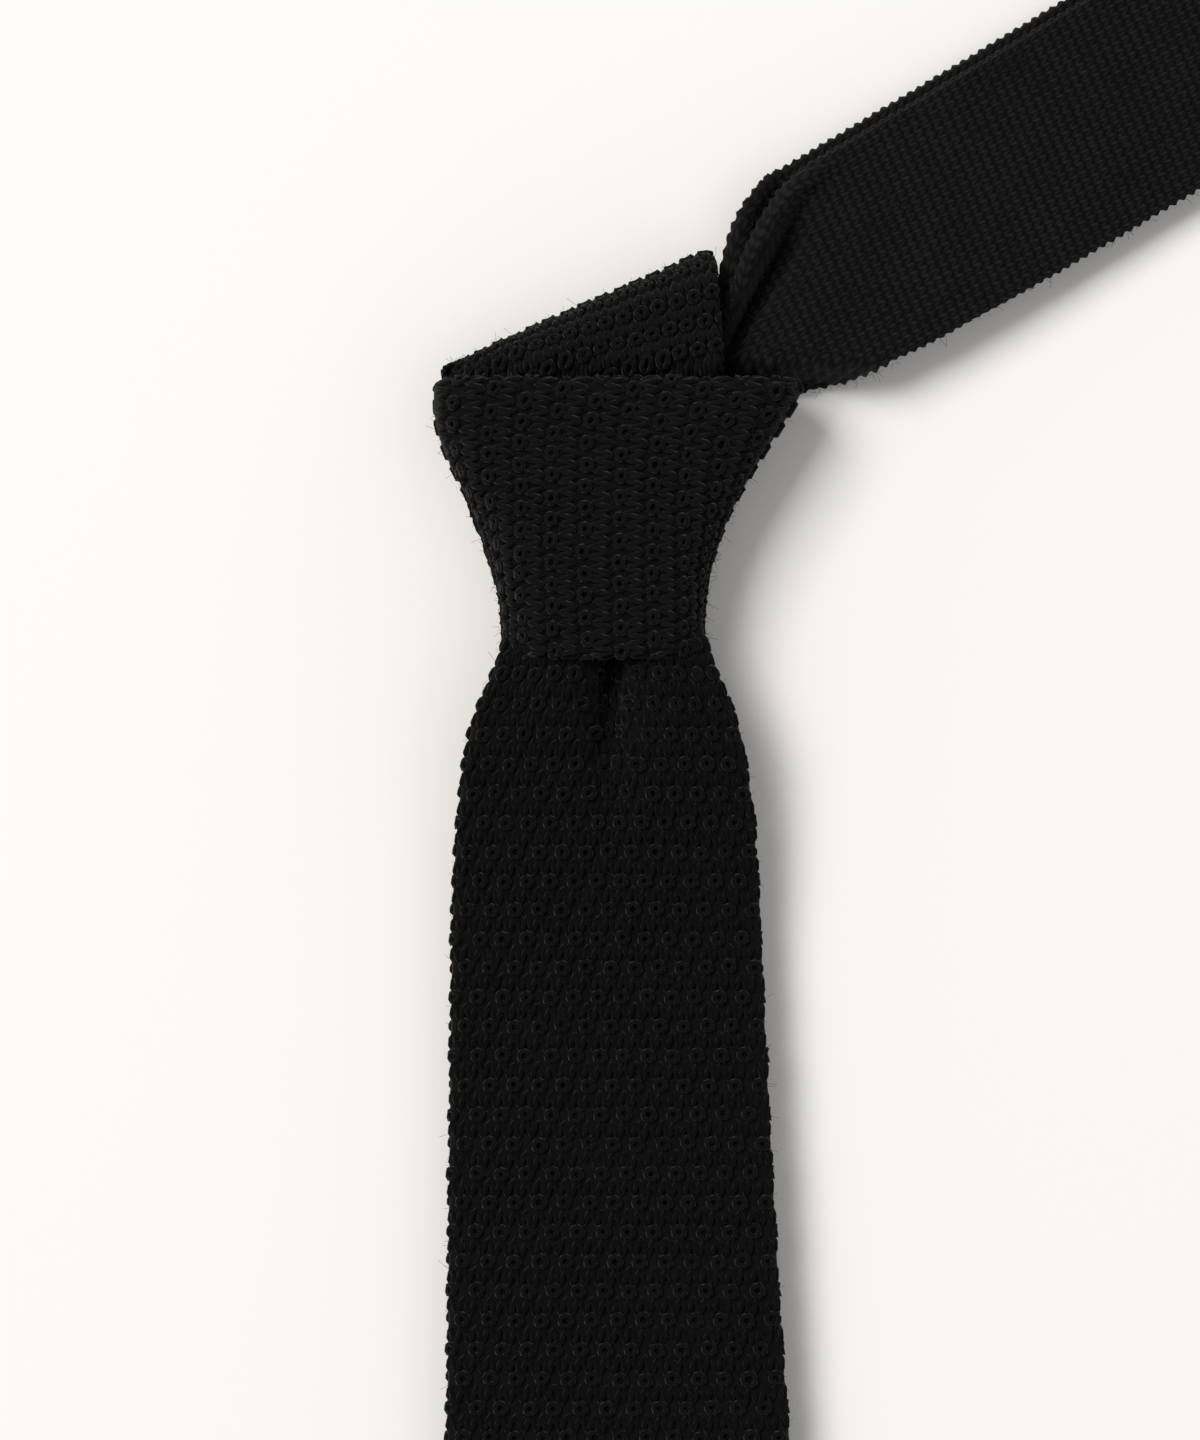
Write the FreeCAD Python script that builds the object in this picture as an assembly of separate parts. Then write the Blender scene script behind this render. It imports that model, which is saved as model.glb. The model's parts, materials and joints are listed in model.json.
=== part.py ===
"""Knotted knit necktie, laid flat and face up: writes one STEP file per sub-part to parts/.

Millimetres, +Z up. The origin is on the table under the middle of the knot. The front blade runs from
the knot towards -Y, the tail lies under it, and the two arms of the neck loop leave the knot together,
up and to the right.
"""

import FreeCAD, Part
import math
import os

# ---- driving dimensions ---------------------------------------------------------------------------

BLADE_THICKNESS = 3.2  # a chunky knitted tube pressed flat: two faces
BAND_THICKNESS = 2.4  # the finer knit of the neckband, pressed flat
KNOT_THICKNESS = 2.8  # the blade's tube where the knot squeezes it
GAP = 0.3  # air between neighbouring layers

BLADE_LENGTH = 482.0  # from under the knot's middle to the tip
BLADE_HALF_WIDTHS = (
    (22, 16.6),
    (29, 20.0),
    (38, 22.1),
    (58, 24.1),
    (86, 25.2),
    (115, 25.9),
    (144, 27.2),
    (230, 30.0),
    (BLADE_LENGTH, 30.0),
)
BLADE_BRIDGE_Z = 9.0  # middle of the blade's thickness where it stands off the table near the knot
BLADE_BRIDGE = (70.0, 150.0)  # from here to here it keeps that height
BLADE_LIES_FLAT_AT = 210.0  # how far from the knot the blade has come down to the tail
BLADE_LOW_Z = 6.2  # middle of the blade's thickness where it lies on the tail
HEM = 1.6
TIP_FLAT_AT = 428.0  # where the tip has come down to the table

LIFT_AXIS = 26.0  # the front blade lifts about a line this far below the knot's middle
LIFT_SETBACK = 1.3
LIFT_Z = 13.8
FOLD_AXIS = 374.0  # the tip folds over the front on this line, just past the tail's end
FOLD_SETBACK = 1.0
AXIS_STRAIGHT_AT = 144.0  # the blade's middle line bends gently up to here, then runs straight
AXIS_BEND = 1.34e-4

TAIL_TOP = 96.0
TAIL_END = 352.0
TAIL_HALF_WIDTH = 20.0
TAIL_Z = 2.7
TAIL_FEED_Z = 7.4
TAIL_SLOPE = 0.0304  # sideways run of the tail's middle line per millimetre of length
JOIN_SEAM_AT = 104.0

KEEPER_AT = 235.0
KEEPER_WIDTH = 12.0
KEEPER_THICKNESS = 0.8
KEEPER_HALF_SPAN = 26.0
KEEPER_FLANGE = 4.5
KEEPER_GAP = 0.15  # left between the keeper's flanges and the blade's back

LABEL_AT = 318.0
LABEL_SIZE = (22.0, 12.0)
LABEL_THICKNESS = 0.3
THREAD = 0.5

BELT_TOP = 21.8  # the knot's front band runs from this height ...
BELT_BOTTOM = -21.8  # ... down to this one
BELT_Z = 10.9
BELT_HALF_HEIGHT = 7.8
BELT_SECTIONS = (  # height, middle, half width
    (BELT_TOP, 2.5, 30.2),
    (14.0, 0.4, 27.6),
    (5.0, -0.3, 22.4),
    (-5.0, -0.5, 18.4),
    (-13.0, -0.2, 16.6),
    (BELT_BOTTOM, 0.0, 16.6),
)
BELT_ROUNDNESS = 3.0  # superellipse exponent of the band's cross-section
PASS_END = -24.2  # the layers inside the knot come out this far
JOIN_SEAM = 2.0  # the sewn edge where the blade's knit joins the neckband's

FOLD_LEFT = (-27.0, 22.0)  # ends of the fold where the blade turns over the neckband
FOLD_RIGHT = (16.5, 43.0)
FOLD_HEIGHT = 15.2

NECK_ORIGIN = (18.0, 27.4)
NECK_ANGLE = 31.0
NECK_HINGE = 12.0
NECK_SETBACK = 2.2
ARM_END = 150.0
NECK_LOOP_END = 190.0
BEND_RADIUS = 9.0  # outside of the soft turn at the back of the neck
FRONT_ARM_Z = 3.9
BACK_ARM_Z = 1.2
FRONT_ARM_STATIONS = (  # along, middle, half width, height of its middle
    (NECK_HINGE + NECK_SETBACK, 0.6, 14.2, 8.6),
    (24.0, 0.4, 16.4, 7.0),
    (40.0, 0.3, 17.7, 5.0),
    (60.0, 0.3, 17.8, FRONT_ARM_Z),
    (ARM_END, 0.3, 17.8, FRONT_ARM_Z),
)
BACK_ARM_STATIONS = (
    (NECK_HINGE + NECK_SETBACK, 1.6, 14.2, 5.3),
    (24.0, 1.9, 16.4, 3.9),
    (40.0, 2.1, 17.7, 2.2),
    (60.0, 2.1, 17.8, BACK_ARM_Z),
    (ARM_END, 2.1, 17.8, BACK_ARM_Z),
)

FAR = 200.0  # beyond everything, for the cutting blocks

os.makedirs("parts", exist_ok=True)
Vector = FreeCAD.Vector


# ---- helpers --------------------------------------------------------------------------------------


def interpolate(table, at):
    """The value at a place along a table of (place, value) pairs, straight between its rows."""
    for (a0, v0), (a1, v1) in zip(table, table[1:]):
        if at <= a1:
            return v0 + (v1 - v0) * (at - a0) / (a1 - a0)
    return table[-1][1]


def ease(at, start, end):
    """Smooth step: 0 before start, 1 after end, level at both."""
    t = min(max((at - start) / (end - start), 0.0), 1.0)
    return t * t * (3 - 2 * t)


def line(start, end):
    return Part.LineSegment(start, end).toShape()


def curve(points):
    """A smooth edge through the points, or a straight one through two of them."""
    if len(points) == 2:
        return line(*points)
    spline = Part.BSplineCurve()
    spline.interpolate(points)
    return spline.toShape()


def block(x0, x1, y0, y1, z0, z1):
    return Part.makeBox(x1 - x0, y1 - y0, z1 - z0, Vector(x0, y0, z0))


def prism(points, depth):
    """A polygon pushed along a vector."""
    ends = points[1:] + points[:1]
    return Part.Face(Part.Wire([line(a, b) for a, b in zip(points, ends)])).extrude(depth)


def in_frame(shape, origin, angle):
    """Turns a shape built along +X so that it runs at an angle from a place on the table."""
    placed = shape.copy()
    placed.rotate(Vector(0, 0, 0), Vector(0, 0, 1), angle)
    placed.translate(Vector(origin[0], origin[1], 0))
    return placed


def ribbon(stations, thickness):
    """A flat span of the tie along +X: its plan outline and its side outline, intersected."""
    left = [Vector(a, b + half, -1) for a, b, half, _ in stations]
    right = [Vector(a, b - half, -1) for a, b, half, _ in reversed(stations)]
    plan = Part.Wire([curve(left), line(left[-1], right[0]), curve(right), line(right[-1], left[0])])
    over = [Vector(a, -FAR, z + thickness / 2) for a, _, _, z in stations]
    under = [Vector(a, -FAR, z - thickness / 2) for a, _, _, z in reversed(stations)]
    side = Part.Wire([curve(over), line(over[-1], under[0]), curve(under), line(under[-1], over[0])])
    plan_solid = Part.Face(plan).extrude(Vector(0, 0, 40))
    side_solid = Part.Face(side).extrude(Vector(0, 2 * FAR, 0))
    return plan_solid.common(side_solid)


def save(name, *solids):
    shape = solids[0] if len(solids) == 1 else Part.makeCompound(solids)
    found = [s for s in shape.Solids]
    valid = all(s.isValid() and s.Volume > 0 for s in found)
    print(f"{name:24s} solids {len(found)} valid {valid} volume {sum(s.Volume for s in found):9.1f}")
    shape.exportStep(f"parts/{name}.step")


# ---- the front blade ------------------------------------------------------------------------------


def blade_middle(along):
    """Sideways place of the blade's middle line: a gentle bend, then straight."""
    bent = min(along, AXIS_STRAIGHT_AT) - 22.0
    straight = max(along - AXIS_STRAIGHT_AT, 0.0)
    return AXIS_BEND * bent**2 + 2 * AXIS_BEND * bent * straight


def blade_height(along):
    """Height of the middle of the blade's thickness: down from the knot, over the tail, to the table."""
    bridge_from, bridge_to = BLADE_BRIDGE
    off_knot = (BLADE_BRIDGE_Z - LIFT_Z) * ease(along, LIFT_AXIS, bridge_from)
    onto_tail = (BLADE_LOW_Z - BLADE_BRIDGE_Z) * ease(along, bridge_to, BLADE_LIES_FLAT_AT)
    onto_table = (BLADE_THICKNESS / 2 - BLADE_LOW_Z) * ease(along, FOLD_AXIS + 12, TIP_FLAT_AT)
    return LIFT_Z + off_knot + onto_tail + onto_table


def blade_span(places):
    stations = [(a, blade_middle(a), interpolate(BLADE_HALF_WIDTHS, a), blade_height(a)) for a in places]
    return in_frame(ribbon(stations, BLADE_THICKNESS), (0, 0), -90)


def front_blade():
    before, after = FOLD_AXIS - FOLD_SETBACK, FOLD_AXIS + FOLD_SETBACK
    hem = BLADE_LENGTH - HEM
    bridge_from, bridge_to = BLADE_BRIDGE
    upper = (LIFT_AXIS + LIFT_SETBACK, 38, 50, 60, bridge_from, 100, bridge_to, 165, 180, 195,
             BLADE_LIES_FLAT_AT, 222, 250, 300, before)
    save("front_blade_upper", blade_span(upper))
    save("front_blade_lower", blade_span((after, 386, 398, 408, 418, TIP_FLAT_AT, 455, hem)))
    save("front_hem_seam", blade_span((hem, BLADE_LENGTH)))


# ---- the tail -------------------------------------------------------------------------------------


def tail_span(places, half_width, thickness, height):
    stations = [(a, TAIL_SLOPE * (a - 62.0), half_width, height(a)) for a in places]
    return in_frame(ribbon(stations, thickness), (0, 0), -90)


def tail():
    def flat(along):
        return TAIL_Z

    def feed(along):
        return TAIL_FEED_Z + (TAIL_Z - TAIL_FEED_Z) * ease(along, LIFT_AXIS, TAIL_TOP)

    seam = JOIN_SEAM
    feed_places = (LIFT_AXIS + LIFT_SETBACK, 38, 50, 62, 76, TAIL_TOP - GAP)
    save("tail_feed", tail_span(feed_places, 13.0, BAND_THICKNESS, feed))
    save("tail_neck_end", tail_span((TAIL_TOP, JOIN_SEAM_AT), 16.0, BAND_THICKNESS, flat))
    save("tail_join_seam", tail_span((JOIN_SEAM_AT, JOIN_SEAM_AT + seam), 18.0, BAND_THICKNESS + 0.6, flat))
    hem = TAIL_END - seam
    save("tail_blade", tail_span((JOIN_SEAM_AT + seam, hem), TAIL_HALF_WIDTH, BLADE_THICKNESS, flat))
    save("tail_hem_seam", tail_span((hem, TAIL_END), TAIL_HALF_WIDTH, BLADE_THICKNESS - 0.4, flat))


def care_label():
    """A plain folded label under the tail, and the two rows of stitches that hold it."""
    length, width = LABEL_SIZE
    under = TAIL_Z - BLADE_THICKNESS / 2
    middle = TAIL_SLOPE * (LABEL_AT - 62.0)
    left, right = middle - width / 2, middle + width / 2
    label = block(LABEL_AT, LABEL_AT + length, left, right, under - LABEL_THICKNESS, under)
    save("care_label", in_frame(label, (0, 0), -90))
    rows = []
    for at in (LABEL_AT + 0.6, LABEL_AT + length - 1.1):
        low = under - LABEL_THICKNESS - THREAD / 2
        row = block(at, at + THREAD, left, right, low, low + THREAD / 2)
        rows.append(in_frame(row, (0, 0), -90))
    save("label_stitches", *rows)


def keeper_loop():
    """A strip under the tail, turned up at both sides and sewn to the blade's back by two flanges."""
    back = BLADE_LOW_Z - BLADE_THICKNESS / 2 - KEEPER_GAP
    wall, span, flange = KEEPER_THICKNESS, KEEPER_HALF_SPAN, KEEPER_FLANGE
    inner = span - flange
    outline = [
        (-inner, 0),
        (inner, 0),
        (inner, back - wall),
        (span, back - wall),
        (span, back),
        (inner - wall, back),
        (inner - wall, wall),
        (wall - inner, wall),
        (wall - inner, back),
        (-span, back),
        (-span, back - wall),
        (-inner, back - wall),
    ]
    middle = blade_middle(KEEPER_AT)
    points = [Vector(KEEPER_AT, middle + b, z) for b, z in outline]
    save("keeper_loop", in_frame(prism(points, Vector(KEEPER_WIDTH, 0, 0)), (0, 0), -90))
    tacks = []
    for side in (-1, 1):
        inside = middle + side * (inner + flange / 2) - THREAD
        top = back - wall
        end = KEEPER_AT + KEEPER_WIDTH - 1
        tack = block(KEEPER_AT + 1, end, inside, inside + 2 * THREAD, top - THREAD, top)
        tacks.append(in_frame(tack, (0, 0), -90))
    save("keeper_bar_tacks", *tacks)


# ---- the knot -------------------------------------------------------------------------------------


def belt_loop(height, middle, half_width, half_height, points=32):
    """A rounded closed loop around the knot at one height: a superellipse."""
    power = 2 / BELT_ROUNDNESS
    ring = []
    for i in range(points):
        turn = 2 * math.pi * i / points
        across, up = math.cos(turn), math.sin(turn)
        x = middle + half_width * math.copysign(abs(across) ** power, across)
        z = BELT_Z + half_height * math.copysign(abs(up) ** power, up)
        ring.append(Vector(x, height, z))
    spline = Part.BSplineCurve()
    spline.interpolate(ring, PeriodicFlag=True)
    return Part.Wire([spline.toShape()])


def belt_volume(inset, extend=0.0):
    """The funnel inside the band's surface, taken in by inset, with its lower end made longer."""
    loops = [
        belt_loop(height, middle, half_width - inset, BELT_HALF_HEIGHT - inset)
        for height, middle, half_width in BELT_SECTIONS
    ]
    if extend:
        _, middle, half_width = BELT_SECTIONS[-1]
        loops.append(belt_loop(BELT_BOTTOM - extend, middle, half_width - inset, BELT_HALF_HEIGHT - inset))
    return Part.makeLoft(loops, True, False)


def knot_belt():
    """The pass over the front and the pass behind, the two halves of one belt."""
    belt = belt_volume(0).cut(belt_volume(KNOT_THICKNESS))
    front = belt.common(block(-FAR, FAR, -FAR, FAR, BELT_Z + GAP / 2, FAR))
    back = belt.common(block(-FAR, FAR, -FAR, FAR, -FAR, BELT_Z - GAP / 2))
    save("knot_front_band", front)
    save("knot_back_wrap", back)


def knot_inside():
    """Three layers that the belt squeezes: the tail, the first crossing, and the blade coming down.

    The crossing starts at the sewn seam between the neckband and the blade's thicker knit.
    """
    volume = belt_volume(KNOT_THICKNESS + GAP, extend=BELT_BOTTOM - PASS_END)
    inner_half = BELT_HALF_HEIGHT - KNOT_THICKNESS - GAP
    low, high = BELT_Z - inner_half, BELT_Z + inner_half
    third = (high - low - 2 * GAP) / 3
    layers = (
        ("knot_tail_pass", low - 1, low + third, PASS_END),
        ("knot_inner_crossing", low + third + GAP, high - third - GAP, BELT_BOTTOM),
        ("knot_blade_pass", high - third, high + 1, PASS_END),
    )
    for name, z0, z1, end in layers:
        layer = volume.common(block(-FAR, FAR, end, FAR, z0, z1))
        if name == "knot_inner_crossing":
            seam = block(-FAR, FAR, BELT_TOP - JOIN_SEAM, FAR, -FAR, FAR)
            save("blade_join_seam", layer.common(seam))
            layer = layer.cut(seam)
        save(name, layer)


def fold_profile(inset):
    """Side outline of the blade turned over the neckband, square to the fold: a U on its side."""
    radius = FOLD_HEIGHT / 2 - inset
    middle = FOLD_HEIGHT / 2
    reach = -45.0
    bottom, top = Vector(-middle, 0, middle - radius), Vector(-middle, 0, middle + radius)
    crown = Vector(radius - middle, 0, middle)
    far_top, far_bottom = Vector(reach, 0, middle + radius), Vector(reach, 0, middle - radius)
    arc = Part.Arc(bottom, crown, top).toShape()
    edges = [line(far_bottom, bottom), arc, line(top, far_top), line(far_top, far_bottom)]
    return Part.Face(Part.Wire(edges))


def along_fold(face, start, length):
    """Pushes a fold profile along the fold line, from its left end."""
    (x0, y0), (x1, y1) = FOLD_LEFT, FOLD_RIGHT
    angle = math.degrees(math.atan2(y1 - y0, x1 - x0))
    solid = face.extrude(Vector(0, -length, 0))
    solid.translate(Vector(0, -start, 0))
    return in_frame(solid, FOLD_LEFT, angle + 90)


def neck_block(start, end):
    """Everything between two places along the neck loop."""
    return in_frame(block(start, end, -FAR, FAR, -FAR, FAR), NECK_ORIGIN, NECK_ANGLE)


def knot_top_wrap():
    """The blade coming up behind, over the neckband and down the front, as far as the belt's top edge."""
    sheet = along_fold(fold_profile(0), 0, 60).cut(along_fold(fold_profile(KNOT_THICKNESS), -1, 62))
    save("knot_top_wrap", sheet.common(block(-FAR, 17.5, BELT_TOP + GAP, FAR, -FAR, FAR)))


def neckband_knot_pass():
    """The two arms of the neckband, gathered where the turned blade grips them."""
    gathered = along_fold(fold_profile(KNOT_THICKNESS + GAP), 14, 60)
    gathered = gathered.common(block(-FAR, FAR, BELT_TOP + GAP, FAR, -FAR, FAR))
    save("neckband_knot_pass", gathered.cut(neck_block(NECK_HINGE - NECK_SETBACK, FAR)))


def knot_rising_wrap():
    """The pass that climbs behind the knot, from the right side to the turn at the top."""
    top = BELT_TOP
    outline = [(-6, -18), (12, -14), (17, 4), (17.5, top), (-26, top), (-21, 6), (-14, -9)]
    points = [Vector(x, y, 0) for x, y in outline]
    save("knot_rising_wrap", prism(points, Vector(0, 0, KNOT_THICKNESS)))


# ---- the neck loop --------------------------------------------------------------------------------


def neckband_arms():
    front = ribbon(FRONT_ARM_STATIONS, BAND_THICKNESS)
    back = ribbon(BACK_ARM_STATIONS, BAND_THICKNESS)
    save("neckband_front_arm", in_frame(front, NECK_ORIGIN, NECK_ANGLE))
    save("neckband_back_arm", in_frame(back, NECK_ORIGIN, NECK_ANGLE))


def neckband_bend():
    """The back of the neck: the band turned round on itself in a soft teardrop."""
    start = ARM_END + GAP
    radius = BEND_RADIUS
    centre = NECK_LOOP_END - radius
    wall = BAND_THICKNESS

    def teardrop(r, arm_top):
        low = radius - r
        bottom, top = Vector(centre, 0, low), Vector(centre, 0, radius + r)
        crown = Vector(centre + r, 0, radius)
        mouth_low, mouth_high = Vector(start, 0, low), Vector(start, 0, arm_top)
        arc = Part.Arc(bottom, crown, top).toShape()
        edges = [line(mouth_low, bottom), arc, line(top, mouth_high), line(mouth_high, mouth_low)]
        return Part.Face(Part.Wire(edges)).extrude(Vector(0, 2 * half, 0))

    half = 17.8
    outer = teardrop(radius, FRONT_ARM_Z + wall / 2)
    inner = teardrop(radius - wall, FRONT_ARM_Z - wall / 2)
    shape = outer.cut(inner)
    shape.translate(Vector(0, 1.2 - half, 0))
    save("neckband_bend", in_frame(shape, NECK_ORIGIN, NECK_ANGLE))


front_blade()
tail()
care_label()
keeper_loop()
knot_belt()
knot_inside()
knot_top_wrap()
neckband_knot_pass()
knot_rising_wrap()
neckband_arms()
neckband_bend()
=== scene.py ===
# %% [markdown]
# # A knitted necktie, tied and laid flat
# The tie is one long tube of knitting, pressed flat. The wide front blade and the short tail are knitted in
# thick wool with rows of small open rings. The neckband between them is a finer plain knit. The tube is tied
# in a four-in-hand knot, so every visible part is the same cloth, turned, wrapped or gathered.
#
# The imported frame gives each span's place. This file gives the cloth: real loops of yarn over a soft body.

# %% The frame
import json
import math

import bpy
import numpy as np
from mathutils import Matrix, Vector


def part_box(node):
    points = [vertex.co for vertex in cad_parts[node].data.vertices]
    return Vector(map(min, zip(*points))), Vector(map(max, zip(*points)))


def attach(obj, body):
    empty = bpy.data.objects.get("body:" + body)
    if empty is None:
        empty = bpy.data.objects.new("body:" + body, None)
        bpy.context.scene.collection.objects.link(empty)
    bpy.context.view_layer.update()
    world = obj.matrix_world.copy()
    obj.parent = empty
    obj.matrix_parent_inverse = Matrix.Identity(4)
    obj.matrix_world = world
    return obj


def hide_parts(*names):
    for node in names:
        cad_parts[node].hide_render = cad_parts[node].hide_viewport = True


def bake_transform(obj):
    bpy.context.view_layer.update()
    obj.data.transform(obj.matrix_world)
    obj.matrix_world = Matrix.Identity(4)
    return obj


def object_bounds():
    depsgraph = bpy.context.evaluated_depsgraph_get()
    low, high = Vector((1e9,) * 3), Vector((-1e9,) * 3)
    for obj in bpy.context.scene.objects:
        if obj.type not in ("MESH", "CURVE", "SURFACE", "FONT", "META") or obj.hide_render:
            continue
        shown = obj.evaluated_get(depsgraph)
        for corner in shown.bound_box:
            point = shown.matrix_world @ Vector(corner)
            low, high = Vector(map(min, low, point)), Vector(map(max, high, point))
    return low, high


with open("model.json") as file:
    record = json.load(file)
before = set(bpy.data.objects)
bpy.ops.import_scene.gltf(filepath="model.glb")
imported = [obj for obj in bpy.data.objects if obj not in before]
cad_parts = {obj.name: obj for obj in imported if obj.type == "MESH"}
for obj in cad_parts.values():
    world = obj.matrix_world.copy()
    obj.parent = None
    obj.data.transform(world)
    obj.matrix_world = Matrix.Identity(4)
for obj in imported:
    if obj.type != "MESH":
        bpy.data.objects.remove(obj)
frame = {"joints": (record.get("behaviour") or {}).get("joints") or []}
cad_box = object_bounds()
MM = 0.001

# %% [markdown]
# ## Measures from the frame
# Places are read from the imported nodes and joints, in millimetres because cloth is easier to think of that
# way. What the frame can't say, such as how far apart the rings of the knit stand, is named here.

# %% Measures
def corners(node):
    """Lowest and highest corner of a node's box, in millimetres."""
    low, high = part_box(node)
    return np.array(low) / MM, np.array(high) / MM


joints = {joint["name"]: joint for joint in frame["joints"]}


def joint_place(name):
    """Where a hinge stands, in millimetres."""
    return np.array(joints[name]["pos_m"]) / MM


band_low, band_high = corners("knot_front_band")
tip_low, tip_high = corners("front_hem_seam")
tail_low, tail_high = corners("tail_blade")
lift_hinge = joint_place("front_blade_lift")
neck_hinge = joint_place("neck_loop_lift")

knot_top, knot_bottom, knot_height = band_high[1], band_low[1], band_high[2]
blade_end = -tip_low[1]
tail_end = -corners("tail_hem_seam")[0][1]
neck_ahead = np.array(joints["loop_grow"]["axis"])
print("knot from", knot_bottom, "to", knot_top, "and", knot_height, "high")
print("blade ends at", blade_end, "tail ends at", tail_end, "neck loop leaves along", neck_ahead)

RING_PITCH = 3.9  # from ring to ring across the front blade
ROW_PITCH = 4.69  # from row to row along it
KNOT_ROW_PITCH = 5.6  # the band is pulled along its length
FOLD_ROW_PITCH = 4.5  # and over the turn the rows fan out
ROW_AT = 95.0  # one row of the blade lies here
YARN_RADIUS = 0.46
RING_RADIUS = 0.84
BLADE_HALF_THICKNESS = 1.25
BAND_HALF_THICKNESS = 1.05
COURSE_PITCH = 1.675  # from row to row of the neckband's fine knit

# %% [markdown]
# ## Light and camera
# A flat lay is lit by one large soft source from the upper left and filled from all sides. The camera looks
# straight down from far enough away that the knot's height hardly changes its size.

# %% Light and camera
def area_light(name, place, aim, size, power, colour):
    """A square soft light at a place, turned to an aim."""
    lamp = bpy.data.lights.new(name, "AREA")
    lamp.size = size
    lamp.energy = power
    lamp.color = colour
    thing = bpy.data.objects.new(name, lamp)
    thing.location = place
    direction = np.array(aim) - np.array(place)
    thing.rotation_euler = Vector(direction).to_track_quat("-Z", "Y").to_euler()
    bpy.context.collection.objects.link(thing)
    return thing


VIEW_LENGTH = 230.4 * MM  # what the long side of the view spans
VIEW_CENTRE = (-0.8 * MM, -32.0 * MM)
LENS, SENSOR = 100.0, 36.0
FOCUS_HEIGHT = 9.0 * MM  # the height at which the span is measured

eye = bpy.data.cameras.new("camera")
eye.lens = LENS
eye.sensor_width = SENSOR
eye.clip_start = 0.01
camera = bpy.data.objects.new("camera", eye)
camera.location = (*VIEW_CENTRE, FOCUS_HEIGHT + VIEW_LENGTH * LENS / SENSOR)
bpy.context.collection.objects.link(camera)
bpy.context.scene.camera = camera
bpy.context.scene.view_settings.view_transform = "Standard"

area_light("window", (-2.48, 1.85, 4.1), (0, -0.05, 0), 2.52, 244.0, (1.0, 0.985, 0.965))
area_light("fill", (0.8, -0.6, 1.8), (0, -0.1, 0), 1.8, 5.0, (0.98, 0.99, 1.0))
sky = bpy.data.worlds.new("sky")
bpy.context.scene.world = sky
sky.use_nodes = True
sky.node_tree.nodes["Background"].inputs["Color"].default_value = (0.98, 0.985, 1.0, 1)
sky.node_tree.nodes["Background"].inputs["Strength"].default_value = 0.38
print("camera", round(camera.location.z, 3), "m above the table")

# %% [markdown]
# ## Turning arrays into meshes
# Every piece here is one or more tubes: a grid of points that runs along the cloth or the yarn in one
# direction and around it in the other. One function turns such grids into a mesh with a UV map, so that a
# material can follow the yarn. The quads are made as whole index arrays, never point by point.

# %% Mesh from grids
def piece(name, points, loop_along=False, texture=(1.0, 1.0), stitches=None):
    """A mesh from points[tube, along, around, xyz] in millimetres, closed around each tube.

    Quad (i, j) joins (i, j), (i+1, j), (i+1, j+1) and (i, j+1), so that along x around points outwards.
    The ends of a tube that doesn't close along its length are each one flat face. UV is texture[0] per
    step along and texture[1] per step around, and it runs past the closing edge without a seam. Or it is
    stitches[along, around + 1, uv], given for each point and once more for the closing edge.
    """
    tubes, along, around, _ = points.shape
    index = np.arange(tubes * along * around).reshape(tubes, along, around)
    steps = along if loop_along else along - 1
    i, j = np.arange(steps)[:, None], np.arange(around)[None, :]
    i_next, j_next = (i + 1) % along, (j + 1) % around
    quads = [index[:, i, j], index[:, i_next, j], index[:, i_next, j_next], index[:, i, j_next]]
    loops = [np.stack(quads, -1).reshape(-1)]
    i, j = i + 0 * j, j + 0 * i
    if stitches is None:
        counts = np.meshgrid(np.arange(steps + 1.0), np.arange(around + 1.0), indexing="ij")
        stitches = np.stack(counts, -1) * texture
    quad_coords = [stitches[i, j], stitches[i + 1, j], stitches[i + 1, j + 1], stitches[i, j + 1]]
    coords = [np.tile(np.stack(quad_coords, -2).reshape(-1, 2), (tubes, 1))]
    sizes = [np.full(tubes * steps * around, 4)]
    if not loop_along:
        for end in (index[:, 0, :], index[:, -1, ::-1]):
            loops.append(end.reshape(-1))
            coords.append(np.zeros((end.size, 2)))
            sizes.append(np.full(tubes, around))
    loops, sizes, coords = np.concatenate(loops), np.concatenate(sizes), np.concatenate(coords)
    mesh = bpy.data.meshes.new(name)
    mesh.vertices.add(index.size)
    mesh.vertices.foreach_set("co", (points.reshape(-1) * MM).astype(np.float32))
    mesh.loops.add(len(loops))
    mesh.loops.foreach_set("vertex_index", loops.astype(np.int32))
    mesh.polygons.add(len(sizes))
    mesh.polygons.foreach_set("loop_start", (np.cumsum(sizes) - sizes).astype(np.int32))
    mesh.polygons.foreach_set("use_smooth", np.ones(len(sizes), bool))
    mesh.update(calc_edges=True)
    mesh.uv_layers.new(name="cloth").data.foreach_set("uv", coords.reshape(-1).astype(np.float32))
    thing = bpy.data.objects.new(name, mesh)
    bpy.context.collection.objects.link(thing)
    print(f"{name}: {(sizes - 2).sum()} triangles")
    return thing


def unit(vectors):
    """Vectors over their length."""
    return vectors / np.maximum(np.linalg.norm(vectors, axis=-1, keepdims=True), 1e-9)


def smooth(at, start, end):
    """0 before start, 1 after end, and 3t^2 - 2t^3 between."""
    t = np.clip((at - start) / (end - start), 0, 1)
    return t * t * (3 - 2 * t)


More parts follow.
